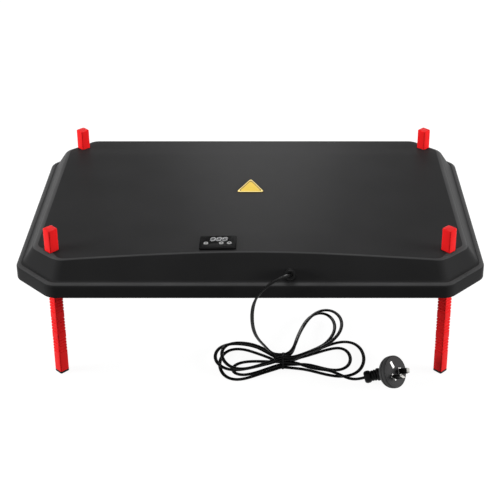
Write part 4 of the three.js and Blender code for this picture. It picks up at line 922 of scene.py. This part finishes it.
def cover_grid():
    """Rings from the skirt's lower edge, over the shoulder, ledge, sloping wall and crest, to the middle of
    the top. Each column's crest is where its wall line meets the top; edges are bent by quadratic curves."""
    low, high = wall_ring(LEDGE_HEIGHT), wall_ring(WALL_TOP)
    span = WALL_TOP - LEDGE_HEIGHT

    def wall(share):
        xy = low + (high - low) * share
        return np.concatenate([xy, LEDGE_HEIGHT + span * share], 1)

    share = np.full((len(low), 1), 0.6)
    for _ in range(30):
        at = low + (high - low) * share
        share = (cover_height(at[:, :1], at[:, 1:]) - LEDGE_HEIGHT) / span
    crest = wall(share)
    outward = low - high
    outward /= np.linalg.norm(outward, axis=1, keepdims=True)
    crisp = smooth((np.abs(outward[:, 1:]) - 0.8) / 0.2)
    reach = CREST_BEND - CREST_BEND_LESS * crisp
    corner = wall(np.zeros_like(share))
    wall_length = np.linalg.norm(wall(np.ones_like(share)) - corner, axis=1, keepdims=True)
    under = wall(share - reach / wall_length)
    inner = crest[:, :2] - outward * reach
    over = np.concatenate([inner, cover_height(inner[:, :1], inner[:, 1:])], 1)
    rings = [lifted(skirt_ring(i), h) for i, h in ((0.4, 0.0), (0.12, 0.1), (0.0, 0.4))]
    rings += [lifted(skirt_ring(0), h) for h in (5, 10, SKIRT_HEIGHT)]
    for angle in np.linspace(0, np.pi / 2, SHOULDER_STEPS + 1)[1:]:
        ring = skirt_ring(CROWN_WIDTH * (1 - math.cos(angle)))
        rings.append(lifted(ring, SKIRT_HEIGHT + SHOULDER_RADIUS * math.sin(angle)))
    ledge = corner + (rings[-1] - corner) * LEDGE_BEND_SHARE
    foot = wall(np.full_like(share, FOOT_BEND_SHARE))
    for u in np.linspace(0, 1, WALL_STEPS + 1):
        rings.append((1 - u) ** 2 * ledge + 2 * u * (1 - u) * corner + u**2 * foot)
    rings += [foot + (under - foot) * u for u in np.arange(1, WALL_STEPS) / WALL_STEPS]
    for u in np.linspace(0, 1, CREST_STEPS + 1):
        rings.append((1 - u) ** 2 * under + 2 * u * (1 - u) * crest + u**2 * over)
    for k in 1 - (1 - np.linspace(0, 0.97, TOP_STEPS + 1)[1:]) ** 1.15:
        xy = over[:, :2] * (1 - k)
        rings.append(np.concatenate([xy, cover_height(xy[:, :1], xy[:, 1:])], 1))
    return np.array(rings) + [0, 0, STAND_HEIGHT]


def bar(width, depth, low, high, turn=0.0, place=(0, 0, 0)):
    """Rings of a plain bar, for cutting."""
    ring = rectangle(width, depth) @ about_z(turn)[:2, :2].T
    return stacked([ring, ring], [low, high]) + np.asarray(place, float)


def cover():
    """The outer surface, with a painted highlight in a paler material along its shoulder and crest, given a
    wall and cut open for legs, panel and gland."""
    grid = cover_grid()
    rows, columns = grid.shape[:2]
    faces = tube_faces(rows, columns)
    faces.pop(-2)
    made = put("cover_shell", grid.reshape(-1, 3), faces, "plate", COVER, 60)
    # The second material paints a highlight on the shoulder and crest rows
    made.data.materials.append(EDGE_HIGHLIGHT_PAINT)
    row = np.arange(len(made.data.polygons)) // columns
    crown = (row >= CROWN_HIGHLIGHT_ROWS[0]) & (row < CROWN_HIGHLIGHT_ROWS[1])
    crest = (row >= CREST_HIGHLIGHT_ROWS[0]) & (row < CREST_HIGHLIGHT_ROWS[1])
    painted_highlight_faces = crown | crest
    made.data.polygons.foreach_set("material_index", painted_highlight_faces.astype(np.int32))
    wall = made.modifiers.new("wall", "SOLIDIFY")
    wall.thickness = SHELL_THICKNESS * MM
    wall.offset = -1
    wall.use_even_offset = True
    settle(made, 60)
    hole = LEG_SIDE + 2 * LEG_PLAY
    cuts = [
        bar(hole, hole, STAND_HEIGHT + 27, STAND_HEIGHT + 60, 45, (sx * LEG_X, sy * LEG_Y, 0))
        for sx in (-1, 1) for sy in (-1, 1)
    ]
    cuts.append(placed(bar(*PANEL_OPENING, -8, 8), PANEL_PLACE, PANEL_TURN))
    cuts.append(placed(turned([(6, -9), (6, 9)], 40), GLAND_PLACE, GLAND_TURN))
    opened(made, cuts)
    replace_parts(made, "top_cover")
    return made


cover()


# Legs

def square_ring(half, corner):
    """Square of a half side with rounded corners, on its point."""
    ring = rounded(rectangle(2 * half, 2 * half), corner, closed=True, steps=5)
    return ring @ about_z(45)[:2, :2].T


def leg_grid():
    """Rings of a leg: notches are dips NOTCH_DEPTH (1 - |t|^1.6) deep for t from -1 to 1 across a notch."""
    half = LEG_SIDE / 2
    across = np.array([-1.25, -1, -0.72, -0.42, -0.14, 0.14, 0.42, 0.72, 1, 1.25])
    depth = NOTCH_DEPTH * np.clip(1 - np.abs(across) ** 1.6, 0, 1)
    heights = [FOOT_SHOWN + 0.3, FOOT_SHOWN + 0.6, 16]
    insets = [0.3, 0, 0]
    for group in range(NOTCH_GROUPS):
        for notch in range(NOTCHES_PER_GROUP):
            middle = FIRST_NOTCH + group * GROUP_PITCH + notch * NOTCH_PITCH
            heights += list(middle + NOTCH_HALF_WIDTH * across)
            insets += list(depth)
    for angle in np.linspace(0, np.pi / 2, 5):
        heights.append(LEG_TOP - LEG_END_BEND * (1 - math.sin(angle)))
        insets.append(LEG_END_BEND * (1 - math.cos(angle)))
    rings = [square_ring(half - inset, LEG_CORNER) for inset in insets]
    return stacked(rings, heights)


def foot_grid():
    """Rings of a rubber tip: its lower rim is rounded by a quarter circle."""
    angle = np.linspace(0, np.pi / 2, 5)
    insets = [*(FOOT_BEND * (1 - np.sin(angle))), 0, FOOT_BEND / 2]
    heights = [*(FOOT_BEND * (1 - np.cos(angle))), FOOT_SHOWN - FOOT_BEND / 2, FOOT_SHOWN]
    return stacked([square_ring(LEG_SIDE / 2 - i, LEG_CORNER) for i in insets], heights)


for sy, row in ((-1, "front"), (1, "back")):
    for sx, side in ((-1, "left"), (1, "right")):
        place = np.array([sx * LEG_X, sy * LEG_Y, 0])
        for part, grid, material, slot in (
            ("leg", leg_grid(), RED, "leg_plastic"), ("foot", foot_grid(), RUBBER, "foot_rubber"),
        ):
            name = f"{part}_{row}_{side}"
            piece = tube(name + "_finish", grid + place, f"leg_{row}_{side}", material, 40)
            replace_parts(piece, name)


# Thermostat panel

def on_panel(grid):
    """A grid that is measured on the panel's face."""
    return placed(grid, PANEL_PLACE, PANEL_TURN)


def plate_grid(outline, low, high, edge):
    """Rings of a flat plate whose upper rim is rounded by an edge radius: each ring is moved in evenly
    by scaling it about its middle."""
    size = outline.max(0) - outline.min(0)
    middle = (outline.max(0) + outline.min(0)) / 2
    angle = np.linspace(0, np.pi / 2, 5)
    insets = [0, *(edge * (1 - np.cos(angle)))]
    heights = [low, *(high - edge + edge * np.sin(angle))]
    return stacked([middle + (outline - middle) * (1 - 2 * i / size) for i in insets], heights)


softened("control_panel", "plate", PANEL, 0.45, 3)
softened("display_window", "plate", GLASS, 0.15, 2)

# Segments of a figure: the column and row of its middle, and whether it stands
SEGMENTS = (
    (0, 1, False), (1, 0.5, True), (1, -0.5, True), (0, -1, False), (-1, -0.5, True), (-1, 0.5, True),
    (0, 0, False),
)


def digit(x, y):
    """Bars of one figure with all its segments: hexagons on a leaning frame."""
    grids = []
    tip = DIGIT_STROKE / 2
    for column, level, stands in SEGMENTS:
        half = ((DIGIT_HEIGHT / 2 if stands else DIGIT_WIDTH) - DIGIT_STROKE * 0.35) / 2
        flat = half - tip
        ring = np.array([(-half, 0), (-flat, -tip), (flat, -tip), (half, 0), (flat, tip), (-flat, tip)])
        if stands:
            ring = ring @ np.array([[0, 1], [-1, 0]])
        ring = ring + [column * DIGIT_WIDTH / 2, level * DIGIT_HEIGHT / 2]
        ring[:, 0] += ring[:, 1] * DIGIT_LEAN_SHARE
        grids.append(on_panel(stacked([ring + [x, y]] * 2, DIGIT_LEVELS)))
    return grids


digits = joined("display_digits", [g for x in DIGIT_X for g in digit(x, DIGIT_ROW_Y)], "plate", DIGITS)

# Outlines of a button, a flanged cap with a dimple, and of a dark disc in its dimple: painted shade in the
# dimple
CAP_OUTLINE = rounded(
    [(0, -0.9), (3.8, -0.9), (3.8, 0), (3, 0), (3, 2.15), (2.6, 2.4), (1.3, 2.4), (1.1, 2.1), (0, 2.1)],
    [0, 0.15, 0.1, 0.1, 0.35, 0.15, 0.1, 0.1, 0],
)
DIMPLE_SHADE_OUTLINE = rounded([(0, 2.0), (1.05, 2.0), (1.05, 2.18), (0, 2.18)], [0, 0.05, 0.05, 0])
for name, x in BUTTON_X.items():
    cap = on_panel(turned(CAP_OUTLINE, 40) + [x, BUTTON_ROW_Y, 0])
    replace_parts(tube(name + "_finish", cap, name, BUTTON), name)
    # A dark disc in the dimple: painted shade
    dimple_shade = on_panel(turned(DIMPLE_SHADE_OUTLINE, 24) + [x, BUTTON_ROW_Y, 0])
    tube(name + "_dimple_shade", dimple_shade, name, PANEL)


# Badge

def triangle(width, depth, corner):
    """Outline of a triangle with its point to the back and bent corners."""
    w, d = width / 2, depth / 2
    return rounded([(-w, -d), (w, -d), (0, d)], corner, closed=True, steps=7)


def on_badge(grid):
    """A grid that is measured on the badge's face."""
    return placed(grid, BADGE_PLACE, BADGE_TURN)


def badge_layer(name, width, depth, shift, corner, levels, edge, material):
    """One triangle of the badge, moved back by the shift, between two levels over the cover."""
    grid = plate_grid(triangle(width, depth, corner), *levels, edge) + [0, shift, 0]
    return tube(name, on_badge(grid), "plate", material)


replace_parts(badge_layer("badge_plate", 39.6, 43, -0.3, 6, (0.3, 0.75), 0.3, BROWN), "badge")
badge_layer("badge_rim", 38, 41.4, -0.4, 5.5, (0.7, 0.86), 0.05, PALE_YELLOW)
badge_layer("badge_line", 32.8, 35.7, -0.7, 5.5, (0.84, 0.92), 0.05, BROWN)
badge_layer("badge_field", 30, 32.7, -2.3, 5.5, (0.9, 0.98), 0.05, YELLOW)


# Gland

gland_profile = rounded(
    [(0, -7.8), (5.7, -7.8), (5.7, 0.4), (7.7, 0.4), (7.7, 2.0), (7.2, 2.3), (7.2, 8.8), (6.6, 10.4),
     (5.4, 11.8), (3.2, 11.9), (3.0, 10.6), (0, 10.6)],
    [0, 0.3, 0.1, 0.5, 0.4, 0.2, 0.6, 0.8, 0.7, 0.3, 0.3, 0],
)
GLAND_SIDES = 72
GLAND_RIBS = 18
gland = turned(gland_profile, GLAND_SIDES)
ribs = np.cos(np.arange(GLAND_SIDES) * 2 * np.pi * GLAND_RIBS / GLAND_SIDES)
held = ((gland_profile[:, 0] > 6.9) & (gland_profile[:, 1] > 2.4) & (gland_profile[:, 1] < 9)).astype(float)
gland[..., :2] *= 1 - 0.018 * held[:, None, None] * (1 + ribs)[None, :, None]
piece = tube("cord_gland_finish", placed(gland, GLAND_PLACE, GLAND_TURN), "plate", DARK)
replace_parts(piece, "cord_gland")


# Pieces that keep their solids, or a copy of them with rounded edges

softened("heating_base", "plate", BASE, 0.5, 2)
KEPT = {
    "gland_nut": COVER, "heating_film": FILM, "insulation_pad": FOAM, "led_display": WHITE,
    "terminal_block": WHITE, "relay": DARK, "control_board": CIRCUIT, "power_board": CIRCUIT,
    "temperature_probe": STEEL, "thermal_cutout": STEEL,
}
for start, material in (
    ("switch_", DARK), ("leg_guide_", BASE), ("leg_catch_", STEEL), ("base_screw_", STEEL),
    ("panel_screw_", STEEL), ("power_screw_", STEEL),
):
    KEPT.update({name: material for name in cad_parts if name.startswith(start)})
for name, material in KEPT.items():
    for material_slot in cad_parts[name].material_slots:
        material_slot.material = material

bpy.context.scene.view_settings.view_transform = "Standard"
